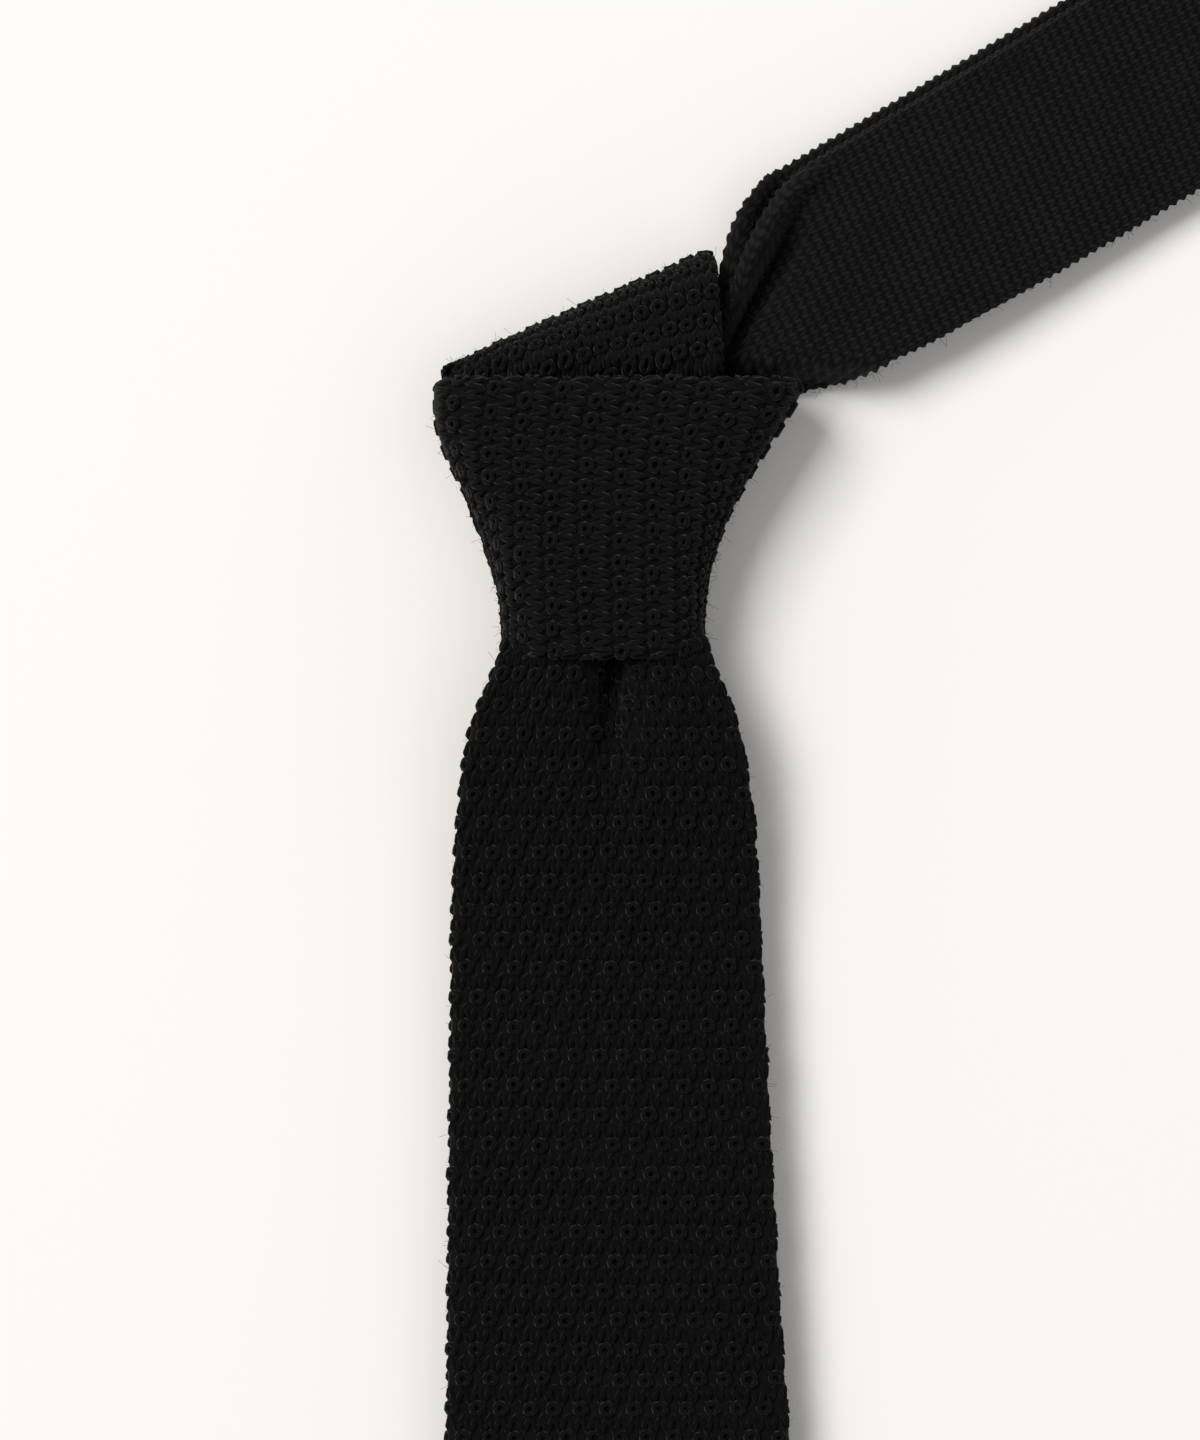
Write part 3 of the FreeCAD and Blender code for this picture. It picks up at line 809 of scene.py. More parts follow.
def belt_sheet(along, across):
    """A flat loop around the knot at each height: two straight passes joined by half circles.

    along / BELT_RUN is r, from -1 at the right side over the front to 1 at the left, then behind. The arc
    from the middle is r times the top edge's run, less |r|^CROWD times what this height has less than the
    top edge. So rows stand upright in the middle and crowd together at the sides.
    """
    height = across * belt_reach
    known = np.clip(height, belt_rows[0], belt_rows[-1])
    half, middle = belt_half(known) + 0 * along, belt_middle(known)
    turn = along / BELT_RUN
    behind = np.where(turn > 1, -1.0, 1.0)
    r = np.where(turn > 1, 2 - turn, turn)
    under = r < -1
    behind = np.where(under, -behind, behind)
    r = np.where(under, -2 - r, r)
    radius = BELT_RADIUS - 0.5 * across**2 - 0.9 * np.abs(across) ** 8
    run = half - radius + radius * math.pi / 2
    arc = r * BELT_RUN * (1 - np.abs(r) ** CROWD * (1 - run / BELT_RUN))
    straight = half - radius
    x = np.clip(arc, -straight, straight)
    angle = (arc - x) / radius
    crown = 0.5 * (1 - (x / half) ** 2)
    sag = 0.25 * np.sin(x / 6.0 + height / 9.0)
    spot = [middle - x - radius * np.sin(angle), -height + 0 * along,
            belt_z + behind * (radius * np.cos(angle) + crown + sag)]
    return np.stack(np.broadcast_arrays(*spot), -1)


BELT_COLUMNS = 26
BELT_PART = (-1, 15)  # only the outer face and its edges have yarn
belt_along = np.linspace(-BELT_RUN * 1.12, BELT_RUN * 3.12, 560)
belt = Span(belt_along, belt_sheet, belt_reach, BLADE_HALF_THICKNESS, front=13.3 / BELT_COLUMNS)
belt_room = (3.28, KNOT_ROW_PITCH)
BELT_WIDTH, BELT_SHARE = knot_top - knot_bottom, 0.8  # along the knot, and what the cut-in sides leave


def belt_relief(along, share):
    """The body is 0.2 mm under the yarn's middle, and at the two sides it fills the rings."""
    beside = np.minimum(np.abs(np.abs(along) - BELT_RUN), np.abs(along - 3 * BELT_RUN)) + 0 * share
    return -0.2 + 0.5 * np.exp(-((beside / 4.0) ** 2))


def belt_half_piece(name, node, start, seed):
    """Half of the belt: its body, and rows of yarn on its outer face and around both edges."""
    end = start + 2 * BELT_RUN
    points = belt.body(start - 0.4, end + 0.4, 1.0, 96, belt_relief)
    body = fabric(piece(name, points), under_wool_painted_shade)
    rows = np.arange(start + 1.0, end - 1.5, KNOT_ROW_PITCH)
    yarns = knitting(name, belt, rows, BELT_COLUMNS, belt_room, part=BELT_PART, phase=0.25, seed=seed)
    others = [fabric(each, ring_wool) for each in yarns]
    if start < 0:
        others.append(fuzz(f"{name}_hairs", belt, 1100, start, end, (0.0, belt.front),
                           seed + 40))
    for each in [body, *others]:
        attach(each, "knot")
    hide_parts(node)
    cut_cloth(body, BELT_WIDTH, 2 * BELT_RUN, others, BELT_SHARE)


belt_half_piece("knot_front_band_cloth", "knot_front_band", -BELT_RUN, 31)
belt_half_piece("knot_back_wrap_cloth", "knot_back_wrap", BELT_RUN, 32)

# %% [markdown]
# ## The turn over the neckband
# Before its last pass down, the blade comes up behind the knot, turns over the neckband and goes down behind
# the belt. What shows is a triangle: the rounded fold climbs to the right, and the rows fan out between the
# fold and the belt's top edge.

# %% Shape of the turn
FOLD_LEFT, FOLD_RIGHT = np.array([-25.4, 23.0]), np.array([17.2, 41.9])
UNDER_LEFT, UNDER_RIGHT = np.array([-23.8, 14.2]), np.array([18.9, 17.3])
turn_z = corners("knot_top_wrap")[1][2] / 2
TURN_FROM, TURN_TO = -26, 33  # from behind the knot, over the fold at 0, to under the belt
TURN_HEIGHT = 6.2
LESS_BELOW = 0.6  # the side on the table is pressed flatter
TURN_DEPTH = 5.0
TURN_RUN = 30.0
TURN_DIVE = 4.2  # how far both layers close in under the belt's edge


def turn_sheet(along, across):
    """From behind, around the fold, and down the front towards the belt.

    across picks a point on the fold and one on a line under the belt's edge, and the cloth runs from one
    to the other. Around the fold it is half an ellipse TURN_HEIGHT high and TURN_DEPTH deep, d = depth
    (1 - cos a), z = height sin a, and straight on from there. Near the belt it dives by a smooth step.
    """
    part = (across + 1) / 2
    fold = FOLD_LEFT + (FOLD_RIGHT - FOLD_LEFT) * part[..., None]
    under = UNDER_LEFT + (UNDER_RIGHT - UNDER_LEFT) * part[..., None]
    far = np.linalg.norm(under - fold, axis=-1)
    ahead = (under - fold) / far[..., None]
    depth = np.minimum(TURN_DEPTH, 0.5 * far)
    quarter = (depth + TURN_HEIGHT) * math.pi / 4
    way = along * (quarter + far - depth) / TURN_RUN
    angle = np.clip(way / quarter, -1, 1) * math.pi / 2
    inwards = depth * (1 - np.cos(angle)) + np.maximum(np.abs(way) - quarter, 0)
    x = fold[..., 0] + ahead[..., 0] * inwards
    y = fold[..., 1] + ahead[..., 1] * inwards
    z = turn_z + np.where(way > 0, TURN_HEIGHT, TURN_HEIGHT - LESS_BELOW) * np.sin(angle)
    z = z - 0.06 * np.maximum(way - quarter, 0)
    under_belt = smooth(y, knot_top + 4.0, knot_top - 0.4) * smooth(along, TURN_FROM, 6)
    z = z - np.sign(way) * TURN_DIVE * under_belt
    return np.stack(np.broadcast_arrays(x, y, z), -1)


turn_along = np.linspace(TURN_FROM, TURN_TO, 220)
fold_length = float(np.linalg.norm(FOLD_RIGHT - FOLD_LEFT))
turn_span = Span(turn_along, turn_sheet, fold_length / 2, BLADE_HALF_THICKNESS)
TURN_COLUMNS = 32
turn_points = turn_span.body(TURN_FROM + 2, TURN_TO - 1, 0.9, 110, -0.2)
turn_body = fabric(piece("knot_top_wrap_cloth", turn_points), under_wool_painted_shade)
turn_rows = np.arange(-12.5, 29.5, FOLD_ROW_PITCH)
turn_yarns = knitting("knot_top_wrap_cloth", turn_span, turn_rows, TURN_COLUMNS, (2.9, FOLD_ROW_PITCH),
                      part=(-1, 17), phase=0.0, seed=41)
turn_others = [fabric(each, ring_wool) for each in turn_yarns]
turn_others.append(fuzz("knot_top_wrap_hairs", turn_span, 500, 0, 28, seed=74))
for each in [turn_body, *turn_others]:
    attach(each, "knot")
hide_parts("knot_top_wrap")
TURN_WIDTH, TURN_LENGTH, TURN_SHARE = 49.0, 56.0, 0.6  # flat, and what the triangle fills of it
cut_cloth(turn_body, TURN_WIDTH, TURN_LENGTH, turn_others, TURN_SHARE)

# %% [markdown]
# ## The neckband's arms
# The neckband is a plain knit, much finer than the blade, so a yarn for every stitch would be a million tiny
# tubes. Its stitches are a relief on the tube's own grid instead: small bumps in columns, fine enough to be
# real shape. Two arms leave the knot, one over the other, and open from a pinched root to their full width.
# The upper edge of each is rolled where the knot pulls it, and a deep pleat runs beside it.

# %% Fine knit
FACE_WALES = 27  # columns of stitches across one face of the neckband
COURSE_SKEW = -2.8  # how many courses the rows run on from the lower edge to the upper one
BAND_STEP, BAND_COLUMNS = 0.336, 290  # the grid of the relief: millimetres along, and points around
BUMP_HEIGHT = 0.55


def even(along, part):
    """Columns evenly spaced across the face."""
    return part


def stitch_phase(along, share, spacing):
    """Which course and which column a place lies on, as numbers that grow by 1 from stitch to stitch."""
    front = share <= 0.5
    part = spacing(along + 0 * share, np.where(front, share * 2, 2 - share * 2) + 0 * along)
    course = along / COURSE_PITCH + COURSE_SKEW * part
    wale = np.where(front, FACE_WALES * part, 2 * FACE_WALES - FACE_WALES * part)
    return np.stack([course, wale], -1)


def fine_knit(spacing=even, height=BUMP_HEIGHT):
    """A relief of one bump for each stitch, h (0.5 + 0.5 cos course) (0.5 + 0.5 cos column), and slow lumps."""
    def relief(along, share):
        """Height over the tube, in millimetres."""
        wave = 0.5 + 0.5 * np.cos(2 * math.pi * stitch_phase(along, share, spacing))
        lumps = 0.05 * np.sin(along * 0.9 + share * 40) * np.sin(along * 0.33 - share * 75)
        return height * wave[..., 0] * wave[..., 1] + lumps - 0.25
    return relief


def band_piece(name, span, start, end, spacing=even, height=BUMP_HEIGHT, step=BAND_STEP,
               columns=BAND_COLUMNS):
    """A length of fine knit with the neckband's material. Its UV is the stitches' own count."""
    points = span.body(start, end, step, columns, fine_knit(spacing, height))
    along = np.linspace(start, end, points.shape[1])[:, None]
    stitches = stitch_phase(along, np.linspace(0, 1, columns + 1)[None, :], spacing)
    return fabric(piece(name, points, stitches=stitches), band_wool)


# %% [markdown]
# ## An arm of the neckband
# Each arm is a fan of lines that start together at the pinched root and spread until they are parallel. Its
# height is a smooth curve along the neck. Rolls and pleats are added across it, each as a ridge or a groove
# that fades out. The columns of stitches keep their real distance, so they run into the pleat and meet there.

# %% Shape of the arms
neck_across = np.cross((0, 0, 1), neck_ahead)
neck_origin = neck_hinge - neck_ahead * 12.0
neck_floor = neck_origin * (1, 1, 0)
UP = np.array((0, 0, 1.0))
ROOT_ALONG, ROOT_ACROSS = -4.0, -3.8  # where the pinched cloth meets, from the neck's origin
ARM_FROM, ARM_TO = -9, 154  # the sheet's ends along the neck, a little past the cloth's
LOWER_OPENING = 12.8  # how soon the lower edge opens
front_arm_z, back_arm_z = 3.9, 1.2


class Arm:
    """One arm of the neckband: a sheet that opens from the pinched root, and the tube around it.

    upper and lower are its edges' distances from the neck's middle, reach is how soon the upper edge gets
    there, and heights is (along, height) through a spline. waves are rolls and pleats h exp(-|b / w|^p)
    across the cloth, around a place (first + slope along), from start to end along.
    """

    def __init__(self, upper, lower, reach, heights, waves, dive):
        self.upper, self.lower, self.reach, self.waves, self.dive = upper, lower, reach, waves, dive
        self.heights = heights
        self.rise = through(*zip(*heights))
        along = np.linspace(ARM_FROM, ARM_TO, 653)
        edges = self.sheet(along[:, None], np.array([[-1.0, 1.0]]))
        half = np.linalg.norm(edges[:, 1] - edges[:, 0], axis=-1) / 2
        self.span = Span(along, self.sheet, half, BAND_HALF_THICKNESS, reach=1.2)
        steps = np.linalg.norm(np.diff(self.span.sheet, axis=1), axis=-1)
        self.run = np.concatenate([np.zeros((len(along), 1)), np.cumsum(steps, axis=1)], axis=1)[..., None]

    def opening(self, along, across):
        """How far a line of the cloth has got from the root to its full distance, from 0 to 1.

        It grows as sin for the upper edge and as 1 - exp for the lower one, mixed by (1 - across) / 2.
        """
        ahead = along - ROOT_ALONG
        ahead = 0.5 * (ahead + np.sqrt(ahead**2 + 9))
        m = (1 - across) / 2
        upper = np.sin(math.pi / 2 * np.minimum(ahead / self.reach, 1))
        return (1 - m) * upper + m * (1 - np.exp(-ahead / LOWER_OPENING))

    def aside(self, along, across):
        """Distance from the neck's middle line, towards the upper edge."""
        edge = (self.upper + self.lower) / 2 + across * (self.upper - self.lower) / 2
        return ROOT_ACROSS + (edge - ROOT_ACROSS) * self.opening(along, across)

    def sheet(self, along, across):
        """Height is the spline, the waves, a slight crown, and a dive under the edge of the belt."""
        b = self.aside(along, across)
        z = self.rise(np.clip(along, self.heights[0][0], self.heights[-1][0])) + 0 * across
        half = (self.upper - self.lower) / 2 * self.opening(along, across)
        for first, slope, width, power, height, start, end in self.waves:
            away = (across - first - slope * along) * half
            fade = smooth(along, start - 8, start) * smooth(along, end, end - 12)
            z = z + height * np.exp(-np.abs(away / width) ** power) * fade
        z = z + 0.7 * (1 - across**2) * smooth(along, 4, 30) * smooth(along, 150, 60)
        z = z + 0.25 * np.sin(along / 13 + across) * smooth(along, 30, 60) * smooth(along, 150, 120)
        spot = neck_floor + along[..., None] * neck_ahead + b[..., None] * neck_across
        z = z - self.dive * smooth(spot[..., 1], knot_top + 4.0, knot_top + 0.7)
        return spot + np.maximum(z, LOWEST_BAND)[..., None] * UP

    def spacing(self, along, part):
        """How far across each column lies: its distance from the nearer edge, and on the rolls over the cloth.

        The columns counted from the two edges meet in the pleat, whose middle is first + slope along.
        """
        along, part = np.broadcast_arrays(along, part)
        across = 2 * part - 1
        whole = self.upper - self.lower
        from_lower = (self.aside(along, across) - self.lower) / whole
        here, upper = (self.span.at(self.run, along, place)[..., 0] for place in (across, 1.0))
        first, slope = self.waves[1][:2]
        return np.where(across < first + slope * along, from_lower, 1 - (upper - here) / whole)


LOWEST_BAND = 1.3  # the middle of the cloth's thickness never comes lower than this
FRONT_RISE = ((ARM_FROM, 8.0), (0, 8.4), (14, 8.8), (24, 8.2), (40, 7.0), (60, 6.0), (105, 4.6),
              (ARM_TO, front_arm_z))
BACK_RISE = ((ARM_FROM, 5.2), (0, 5.4), (14, 5.4), (24, 4.8), (40, 3.8), (60, 2.8), (105, 1.6),
             (ARM_TO, back_arm_z))
FRONT_WAVES = ((0.775, 0.005, 1.2, 2, 2.4, 0, 34), (0.34, 0.013, 2.8, 4, -5.6, 0, 25),
               (0.1, 0.013, 4.0, 2, -1.3, 0, 28))
BACK_WAVES = ((0.62, 0.02, 1.6, 2, 2.2, 0, 36), (0.25, 0.02, 3.0, 2, -2.6, 0, 30))
FRONT_EDGES, BACK_EDGES = (17.9, -17.7), (19.9, -16.0)  # upper and lower, from the neck's middle
front_arm = Arm(*FRONT_EDGES, 33, FRONT_RISE, FRONT_WAVES, 7.5)
back_arm = Arm(*BACK_EDGES, 27, BACK_RISE, BACK_WAVES, 3.5)
ROOT_FROM, ARM_SPLIT, ARM_END = -6, 50.0, 150.0
NECKBAND_WIDTH = 35.7  # the tube pressed flat


HIDDEN_GRID = {"step": 0.5, "columns": 190}  # coarser, for the arm underneath
for label, arm, grid in (("front", front_arm, {}), ("back", back_arm, HIDDEN_GRID)):
    root = [band_piece(f"neckband_{label}_arm_root_cloth", arm.span, ROOT_FROM, ARM_SPLIT, arm.spacing,
                       **grid)]
    main = [band_piece(f"neckband_{label}_arm_cloth", arm.span, ARM_SPLIT, ARM_END, arm.spacing, **grid)]
    if arm is front_arm:
        root.append(fuzz("neckband_root_hairs", arm.span, 1000, 4, ARM_SPLIT, seed=75))
        main.append(fuzz("neckband_arm_hairs", arm.span, 1400, ARM_SPLIT, ARM_END, seed=76))
    for each in root:
        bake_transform(each)
    for each in main:
        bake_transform(each)
    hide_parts(f"neckband_{label}_arm")
    cut_cloth(root[0], NECKBAND_WIDTH, ARM_SPLIT - ROOT_FROM, root[1:])
    cut_cloth(main[0], NECKBAND_WIDTH, ARM_END - ARM_SPLIT, main[1:])

# %% [markdown]
# ## The bend at the back of the neck
# The two arms are one band, turned back on itself where it passes behind the neck. Laid flat, the band stands
# up in a soft loop there, about as high as the knot.

# %% Bend
BEND_CENTRE = (181.0, 9.0)
BEND_RADIUS = 7.8


def bend_sheet(along, across):
    """From the front arm up to the top of the loop, half a circle round, and back down to the back arm.

    along 0 to 31 rises by a smooth step, the next pi r turns, and the last 31 lie flat. The middle of the
    band moves over from the front arm's to the back arm's on the way.
    """
    run = BEND_CENTRE[0] - ARM_END
    arc = math.pi * BEND_RADIUS
    turn = np.clip((along - run) / BEND_RADIUS, 0, math.pi)
    out = np.where(along < run + arc, ARM_END + np.minimum(along, run), BEND_CENTRE[0] - (along - run - arc))
    out = out + BEND_RADIUS * np.sin(turn)
    top, low = BEND_CENTRE[1] + BEND_RADIUS, BEND_CENTRE[1] - BEND_RADIUS
    z = np.where(along < run, front_arm_z + (top - front_arm_z) * smooth(along, 0, run),
                 BEND_CENTRE[1] + BEND_RADIUS * np.cos(turn))
    z = np.where(along > run + arc, low + (back_arm_z - low) * smooth(along, run + arc, run + arc + run), z)
    over = smooth(along, run, run + arc)
    upper, lower = (front + (back - front) * over for front, back in zip(FRONT_EDGES, BACK_EDGES))
    b = lower + (upper - lower) * (1 + across) / 2
    flat = neck_floor + out[..., None] * neck_ahead + b[..., None] * neck_across
    return flat + (z + 0 * across)[..., None] * UP


bend_length = 2 * (BEND_CENTRE[0] - ARM_END) + math.pi * BEND_RADIUS
bend_along = np.linspace(-1, bend_length + 1, 180)
bend = Span(bend_along, bend_sheet, NECKBAND_WIDTH / 2, BAND_HALF_THICKNESS, reach=1.2)
bend_cloth = band_piece("neckband_bend_cloth", bend, 0, bend_length, step=0.45, columns=220)
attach(bend_cloth, "loop_bend")
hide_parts("neckband_bend")
cut_cloth(bend_cloth, NECKBAND_WIDTH, bend_length)

# %% [markdown]
# ## The passes inside the knot
# Between the belt's front and back the tie passes three more times, and the neckband is bunched under the
# turn. Little of this is ever seen, so each pass is one pressed tube with the fine knit's relief, a little
# narrower than the belt around it.

# %% Inner passes
def inner_sheet(height, middle, half):
    """A flat sheet at one height between two edges that follow the belt."""
    def sheet(along, across):
        """x runs from edge to edge, and z is crowned by 0.3 cos."""
        x = middle(along) + across * half(along)
        return np.stack(np.broadcast_arrays(x, -along, height + 0.3 * np.cos(2 * across)), -1)
    return sheet


SHORTEST_SHEET = 10.0  # the sewn edge between two passes is a seam, not a sheet


def inner_pass(node, inset):
    """A pass that fills its node's height, inset from the belt's edges."""
    low, high = corners(node)
    along = np.linspace(-high[1] + 0.8, min(-low[1], -knot_bottom - 1.0), 60)
    half = belt_half(along) - inset
    sheet = inner_sheet((low[2] + high[2]) / 2, belt_middle, lambda a: belt_half(a) - inset)
    span = Span(along, sheet, half, 0.42 * (high[2] - low[2]), reach=1.2)
    cloth = band_piece(f"{node}_cloth", span, along[0], along[-1], height=0.0, step=1.0, columns=110)
    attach(cloth, "knot")
    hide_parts(node)
    if along[-1] - along[0] > SHORTEST_SHEET:
        cut_cloth(cloth, 2 * half.max(), along[-1] - along[0],
                  share=half.mean() / half.max())


for node, inset in (("knot_tail_pass", 3.6), ("knot_inner_crossing", 2.2), ("blade_join_seam", 2.2),
                    ("knot_blade_pass", 3.6)):
    inner_pass(node, inset)

# %% [markdown]
# ## The bunched neckband
# Under the turn the neckband is squeezed to a thick narrow rope. Almost nothing of it shows, but without it the
# gap between the turn and the arms would be empty.

# %% Bunched neckband under the turn
BUNCH_HALF, BUNCH_Z = 3.0, 7.4


def bunch_sheet(along, across):
    """A narrow flat sheet from the pinched root back under the turn: two straight directions."""
    middle = neck_floor + ROOT_ALONG * neck_ahead + ROOT_ACROSS * neck_across
    back, side = np.array((-1.0, 0.04, 0)), np.array((0.04, 1.0, 0))
    aside = (BUNCH_HALF * across + 0 * along)[..., None] * side
    return middle + along[..., None] * back + aside + BUNCH_Z * UP


bunch_along = np.linspace(-3, 30, 40)
bunch = Span(bunch_along, bunch_sheet, BUNCH_HALF, 2.0, reach=1.2)
bunch_cloth = band_piece("neckband_knot_pass_cloth", bunch, -2, 29, height=0.0, step=0.8, columns=70)
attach(bunch_cloth, "knot")
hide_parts("neckband_knot_pass")

# %% [markdown]
# ## The rising wrap behind the knot
# Behind the belt the blade climbs from the bottom of the knot to the turn. It lies on the table, so it is
# pressed flatter than the rest, and it is the widest thing seen from behind.

# %% Rising wrap
rise_low, rise_high = corners("knot_rising_wrap")
RISING_Z, RISING_HALF_THICKNESS = 1.65, 0.75
RISING_PRESS = 0.5  # how much of the stitches' height is left


def rising_sheet(along, across):
    """Two edges that spread from the knot's waist to the turn, each a smooth curve."""
    part = np.clip((along + rise_high[1]) / (rise_high[1] - rise_low[1]), 0, 1)
    left = rise_low[0] + 12.5 * part**1.5
    right = rise_high[0] - 6.0 * part**2
    x = (left + right) / 2 + across * (right - left) / 2
    z = RISING_Z + 0.25 * np.cos(x / 7.0) + 0.2 * np.sin(along / 6.0)
    return np.stack(np.broadcast_arrays(x, -along, z), -1)


rising_along = np.linspace(-rise_high[1] - 1, -rise_low[1] + 1, 60)
rising_edges = rising_sheet(rising_along[:, None], np.array([[-1.0, 1.0]]))
rising_half = (rising_edges[:, 1, 0] - rising_edges[:, 0, 0]) / 2
rising = Span(rising_along, rising_sheet, rising_half, RISING_HALF_THICKNESS, reach=1.2)
rising_points = rising.body(-rise_high[1], -rise_low[1], 1.0, 100, -0.1)
rising_cloth = fabric(piece("knot_rising_wrap_cloth", rising_points), under_wool_painted_shade)
rising_rows = np.arange(-rise_high[1] + 1, -rise_low[1] - 2, ROW_PITCH)
rising_yarns = knitting("knot_rising_wrap_cloth", rising, rising_rows, 24, (3.4, ROW_PITCH), part=(11, 25),
                        press=RISING_PRESS, seed=51)
rising_others = [fabric(each, ring_wool) for each in rising_yarns]
for each in [rising_cloth, *rising_others]:
    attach(each, "knot")
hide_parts("knot_rising_wrap")
cut_cloth(rising_cloth, rise_high[0] - rise_low[0], rise_high[1] - rise_low[1],
          rising_others, 0.8)

# %% [markdown]
# ## The tail
# The narrow end comes out under the blade. Its first part is still the fine neckband. A join seam follows,
# and then the ring knit again, 40 mm wide, down to a straight hem.

# %% Shape of the tail
TAIL_SLOPE = -joints["tail_slide"]["axis"][0] / joints["tail_slide"]["axis"][1]
tail_z = (tail_low[2] + tail_high[2]) / 2
tail_join = -corners("tail_join_seam")[0][1]
TAIL_OUTLINE = ((20, 12.5), (60, 13.2), (90, 15.0), (104, 16.6), (130, 17.8), (200, 18.6), (280, 19.1),
                (356, 19.2))
tail_half = through(*zip(*TAIL_OUTLINE))
TAIL_FEED_Z = 7.4
TAIL_MIDDLE_AT = 62.0  # where the tail's middle crosses the blade's


def tail_sheet(along, across):
    """x follows the tail's slope, and z comes down to rest on the keeper, pressed in under the dimple."""
    x = TAIL_SLOPE * (along - TAIL_MIDDLE_AT) + across * tail_half(along)
    z = TAIL_FEED_Z + (tail_z - TAIL_FEED_Z) * smooth(along, 26, 96)
    z = z - 3.6 * dimple_depth(along) * valley(x, 5.2)
    return np.stack(np.broadcast_arrays(x, -along, z + 0.1 * np.sin(along / 15 + 2 * across)), -1)


tail_along = np.linspace(20, tail_end + 4, 360)
tail = Span(tail_along, tail_sheet, tail_half(tail_along), 0.95)
FEED_FROM, FEED_END = 22, 60.0
feed_cloth = band_piece("tail_feed_cloth", tail, FEED_FROM, FEED_END, step=0.55, columns=150)
bend_over([feed_cloth], LIFT_FROM, LIFT_TO)
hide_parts("tail_feed")
neck_end_cloth = band_piece("tail_neck_end_cloth", tail, FEED_END, tail_join, step=0.55, columns=150)
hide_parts("tail_neck_end")

tail_points = tail.body(tail_join - 1, tail_end - 1, 1.2, 100, -0.1)
tail_body = fabric(piece("tail_blade_cloth", tail_points), under_wool_painted_shade)
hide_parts("tail_blade")
tail_rows = np.arange(tail_join + 2.0, tail_end - 4.0, ROW_PITCH)
tail_yarns = []
for half, rows in enumerate(np.array_split(np.arange(len(tail_rows)), 2)):
    made = knitting(f"tail_blade_{half + 1}", tail, tail_rows[rows], 20, (3.7, ROW_PITCH), press=0.8,
                    phase=0.5 * (rows[0] % 2), seed=61 + half)
    tail_yarns += [fabric(each, ring_wool) for each in made]

# %% [markdown]
# ## Seams, hems and small sewn parts
# The two ends of the tube are closed by a row of whip stitches, and the same stitch joins the blade cloth to
# the neckband. A whip stitch is a helix around the edge, so a yarn is wound around a soft bar. When the tail is
# pulled up, its cloth is drawn along little by little; here its pieces are only baked where they stand.

# %% Stitches
def whip_stitches(name, left, right, radii, turns, radius=0.36):
    """A yarn wound around an edge from left to right: x runs on, (y, z) go round an ellipse."""
    turn = np.linspace(0, turns, turns * 10 + 1)
    left, right = np.array(left), np.array(right)
    middle = left + (right - left) * (turn / turns)[:, None]
    angle = 2 * math.pi * turn
    ring = np.stack([0 * turn, radii[0] * np.cos(angle), radii[1] * np.sin(angle)], -1)
    return thread_lines(name, (middle + ring)[None], radius, ring_wool)


def edge_roll(name, left, right, radii):
    """The folded edge inside the stitches: an elliptical bar with rounded ends."""
    share = np.linspace(0, 1, 60)
    end = np.sqrt(np.maximum(1 - (2 * share - 1) ** 16, 0.02))
    angle = np.linspace(0, 2 * math.pi, 14, endpoint=False)
    middle = np.array(left) + (np.array(right) - np.array(left)) * share[:, None]
    ring = np.stack([0 * angle, radii[0] * np.sin(angle), radii[1] * np.cos(angle)], -1)
    bar = (middle[:, None] + end[:, None, None] * ring)[None]
    return fabric(piece(name, bar), under_wool_painted_shade)


def seam(node, along, sheet, radii, turns):
    """A stitched edge across the cloth at a place along it, 0.8 mm in from both sides."""
    left, right = sheet(np.array([[along]]), np.array([[-1.0, 1.0]]))[0]
    left, right = left + (0.8, 0, 0), right - (0.8, 0, 0)
    roll = edge_roll(f"{node}_roll", left, right, radii)
    stitches = whip_stitches(f"{node}_stitches", left, right, radii, turns)
    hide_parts(node)
    return [roll, stitches]


front_hem = seam("front_hem_seam", blade_end - 1.0, blade_sheet, (1.0, 1.3), 24)
for each in front_hem:
    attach(each, "blade_tip")
tail_hem = seam("tail_hem_seam", tail_end - 1.0, tail_sheet, (1.0, 1.1), 17)
join = seam("tail_join_seam", tail_join + 1.0, tail_sheet, (1.0, 1.2), 15)

for each in [neck_end_cloth, tail_body, *tail_yarns, *tail_hem, *join]:
    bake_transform(each)

# each width is that of the tube pressed flat, and the upper length opens from 33 mm, so it fills 0.85
cut_cloth(upper[0], 58.0, UPPER_SPLIT - BLADE_FROM,
          upper[1:], 0.85)
cut_cloth(lower[0], 59.3, fold_line - HALF_FOLD - UPPER_SPLIT,
          lower[1:])
cut_cloth(tip[0], 59.4, blade_end - fold_line + HALF_FOLD, [*tip[1:], *front_hem])
cut_cloth(feed_cloth, 26.0, FEED_END - FEED_FROM)
cut_cloth(neck_end_cloth, 30.0, tail_join - FEED_END)
cut_cloth(tail_body, 38.0, tail_end - tail_join,
          [*tail_yarns, *tail_hem, *join])

# %% [markdown]
# ## The keeper
# A ribbed strip behind the blade holds the tail. It is sewn to the blade at both ends, with a zigzag of thread
# over each end. The strip is a pressed tube like the rest, carried along a line that steps up at both sides.

# %% Keeper
KEEPER_RIBS = 16
keeper_low, keeper_high = corners("keeper_loop")
keeper_middle = (keeper_low + keeper_high) / 2
KEEPER_HALF = (keeper_high[1] - keeper_low[1]) / 2
keeper_reach = (keeper_high[0] - keeper_low[0]) / 2


def keeper_sheet(along, across):
    """A strip along x: flat under the tail, up at both sides, and out in two flanges against the blade."""
    rise = smooth(np.abs(along), keeper_reach - 5.6, keeper_reach - 3.4)
    z = keeper_low[2] + 0.35 + rise * (keeper_high[2] - keeper_low[2] - 0.75)
    x, y = keeper_middle[0] + along, keeper_middle[1] + across * KEEPER_HALF
    return np.stack(np.broadcast_arrays(x, y, z), -1)


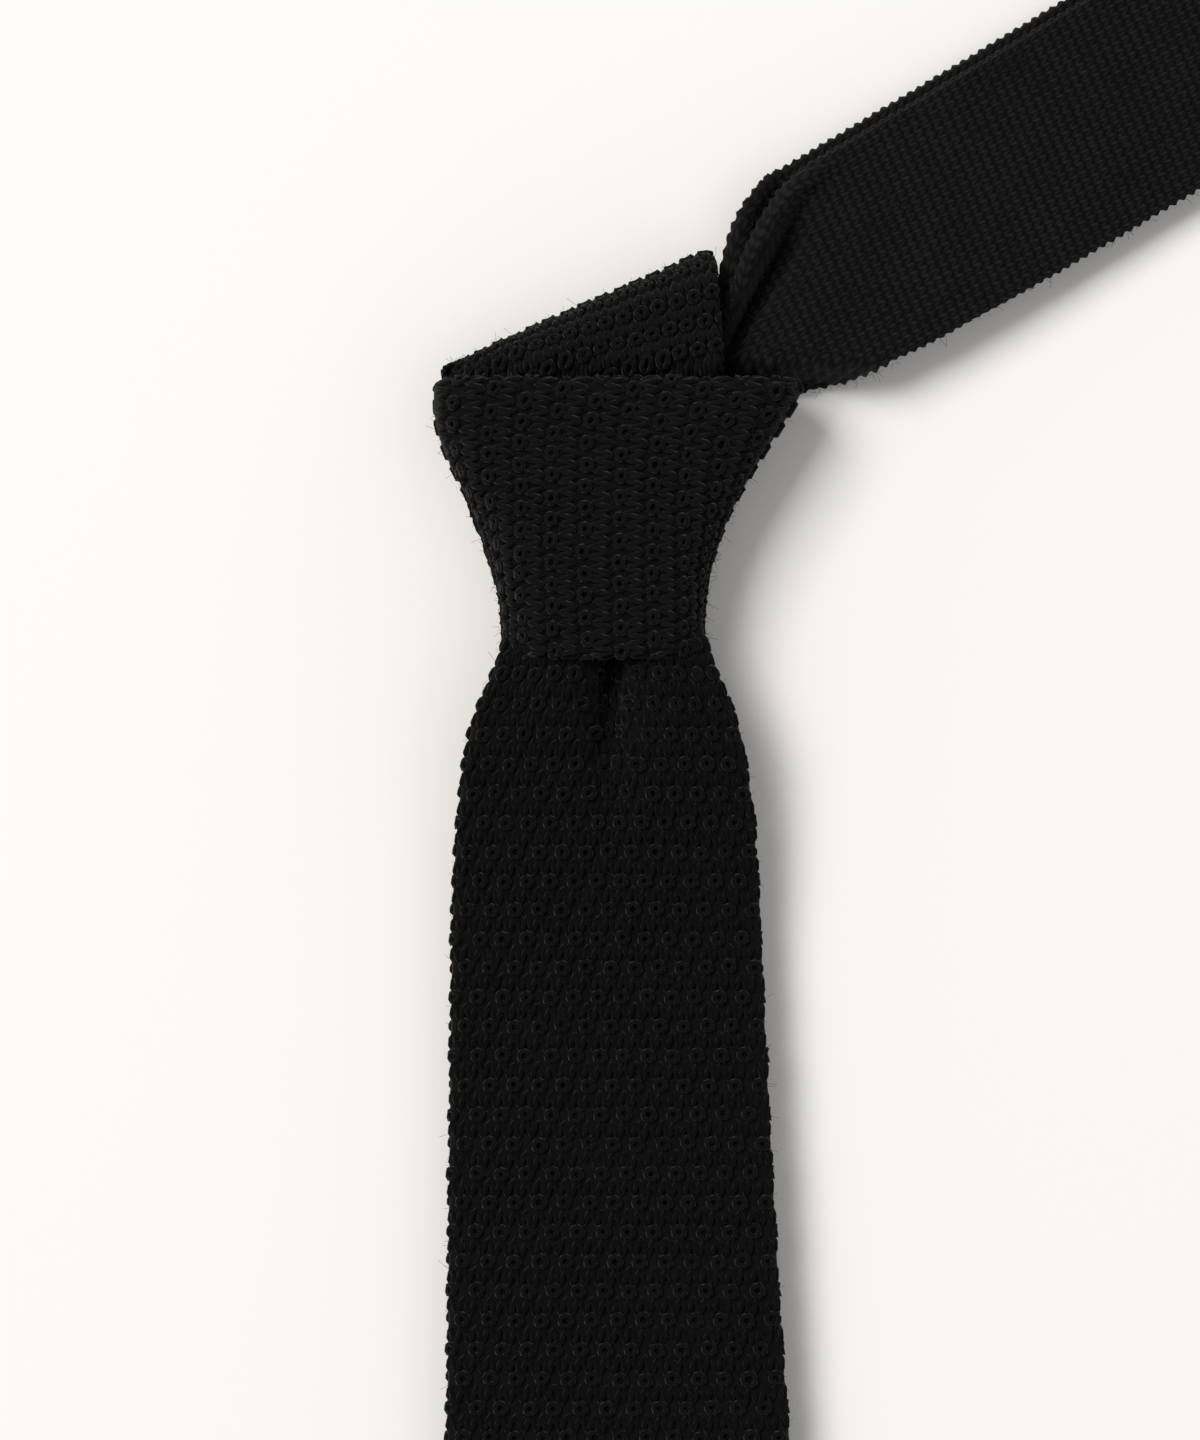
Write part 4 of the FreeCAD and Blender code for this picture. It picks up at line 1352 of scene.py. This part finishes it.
def keeper_ribs(along, share):
    """Fine ribs along the strip, and finer ones across: two cosines."""
    return 0.08 * np.cos(2 * math.pi * KEEPER_RIBS * share) + 0.03 * np.cos(2 * math.pi * along / 0.9)


keeper_along = np.linspace(-keeper_reach, keeper_reach, 160)
keeper_span = Span(keeper_along, keeper_sheet, KEEPER_HALF, 0.34, reach=1.2)
keeper_points = keeper_span.body(-keeper_reach, keeper_reach, 0.45, 80, keeper_ribs)
keeper = fabric(piece("keeper_strip", keeper_points), band_wool)
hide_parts("keeper_loop")
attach(keeper, "front_blade")

tack_low, tack_high = corners("keeper_bar_tacks")
THREAD_RADIUS = 0.13
count = np.arange(57)  # a zigzag: from side to side at each count
tack_y = tack_low[1] + (tack_high[1] - tack_low[1]) * count / count[-1]
tack_z = tack_low[2] + 0.25 + 0.12 * np.sin(math.pi * (count + 0.5))
tack_lines = [np.stack([x + 0.9 * np.cos(math.pi * count), tack_y, tack_z], -1)
              for x in (tack_low[0] + 0.6, tack_high[0] - 0.6)]
tacks = thread_lines("keeper_bar_tack_threads", np.stack(tack_lines), THREAD_RADIUS)
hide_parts("keeper_bar_tacks")
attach(tacks, "front_blade")
KEEPER_STEPS = 6.6  # what the two steps up add to its length
cut_cloth(keeper, 2 * KEEPER_HALF, 2 * keeper_reach + KEEPER_STEPS,
          [tacks])

# %% [markdown]
# ## The label
# A woven ribbon, sewn under the tail with two rows of dashes. It is left blank. Satin is the one thing here
# with a gloss, so it gets its own material with fine ribs.

# %% Label
label_low, label_high = corners("care_label")
label_middle = (label_low + label_high) / 2
LABEL_Z = 0.42
label_size = (label_high - label_low) / 2


def label_sheet(along, across):
    """A flat ribbon that bows a little in the middle."""
    x, z = label_middle[0] + across * label_size[0], LABEL_Z + 0.1 * np.sin(along / 5.0)
    return np.stack(np.broadcast_arrays(x, label_middle[1] - along, z), -1)


def ribbon(name):
    """Black satin ribbon: fine weft ribs across it and a soft gloss."""
    shader = Shader(name, Roughness=0.45, Specular_IOR_Level=0.35, Sheen_Weight=0.1)
    place = shader.add("ShaderNodeTexCoord", output=3)
    ribs = shader.add("ShaderNodeTexWave", {"bands_direction": "Y"}, {"Vector": place, "Scale": 1100.0})
    cloud = shader.add("ShaderNodeTexNoise", None, {"Vector": place, "Scale": 900.0})
    shader.feed("Base Color", shader.mix(ribs * 0.5 + cloud * 0.4, grey(0.012), grey(0.03)))
    shader.feed("Normal", shader.bump(ribs, 0.00005, 0.6))
    return shader.material


label_along = np.linspace(-label_size[1] - 1, label_size[1] + 1, 50)
label_span = Span(label_along, label_sheet, label_size[0], 0.14, reach=1.2)
label_points = label_span.body(-label_size[1], label_size[1], 0.5, 60, 0.0)
label_cloth = fabric(piece("care_label_ribbon", label_points), ribbon("label_ribbon"))
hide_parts("care_label")
stitch_low, stitch_high = corners("label_stitches")
t = np.linspace(0, 1, 7)  # a dash bows out and dives into the ribbon at both ends
dash_z = LABEL_Z - 0.18 - 0.16 * np.sin(math.pi * t) + 0.2 * (2 * t - 1) ** 8
dashes = [np.stack([x + 1.35 * t, y + 0 * t, dash_z], -1)
          for y in (stitch_low[1] + 1.4, stitch_high[1] - 1.4)
          for x in np.arange(stitch_low[0] + 0.6, stitch_high[0] - 1.5, 1.9)]
label_threads = thread_lines("label_stitch_threads", np.stack(dashes), THREAD_RADIUS)
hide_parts("label_stitches")
for each in (label_cloth, label_threads):
    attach(each, "tail")
cut_cloth(label_cloth, 2 * label_size[0], 2 * label_size[1], [label_threads])
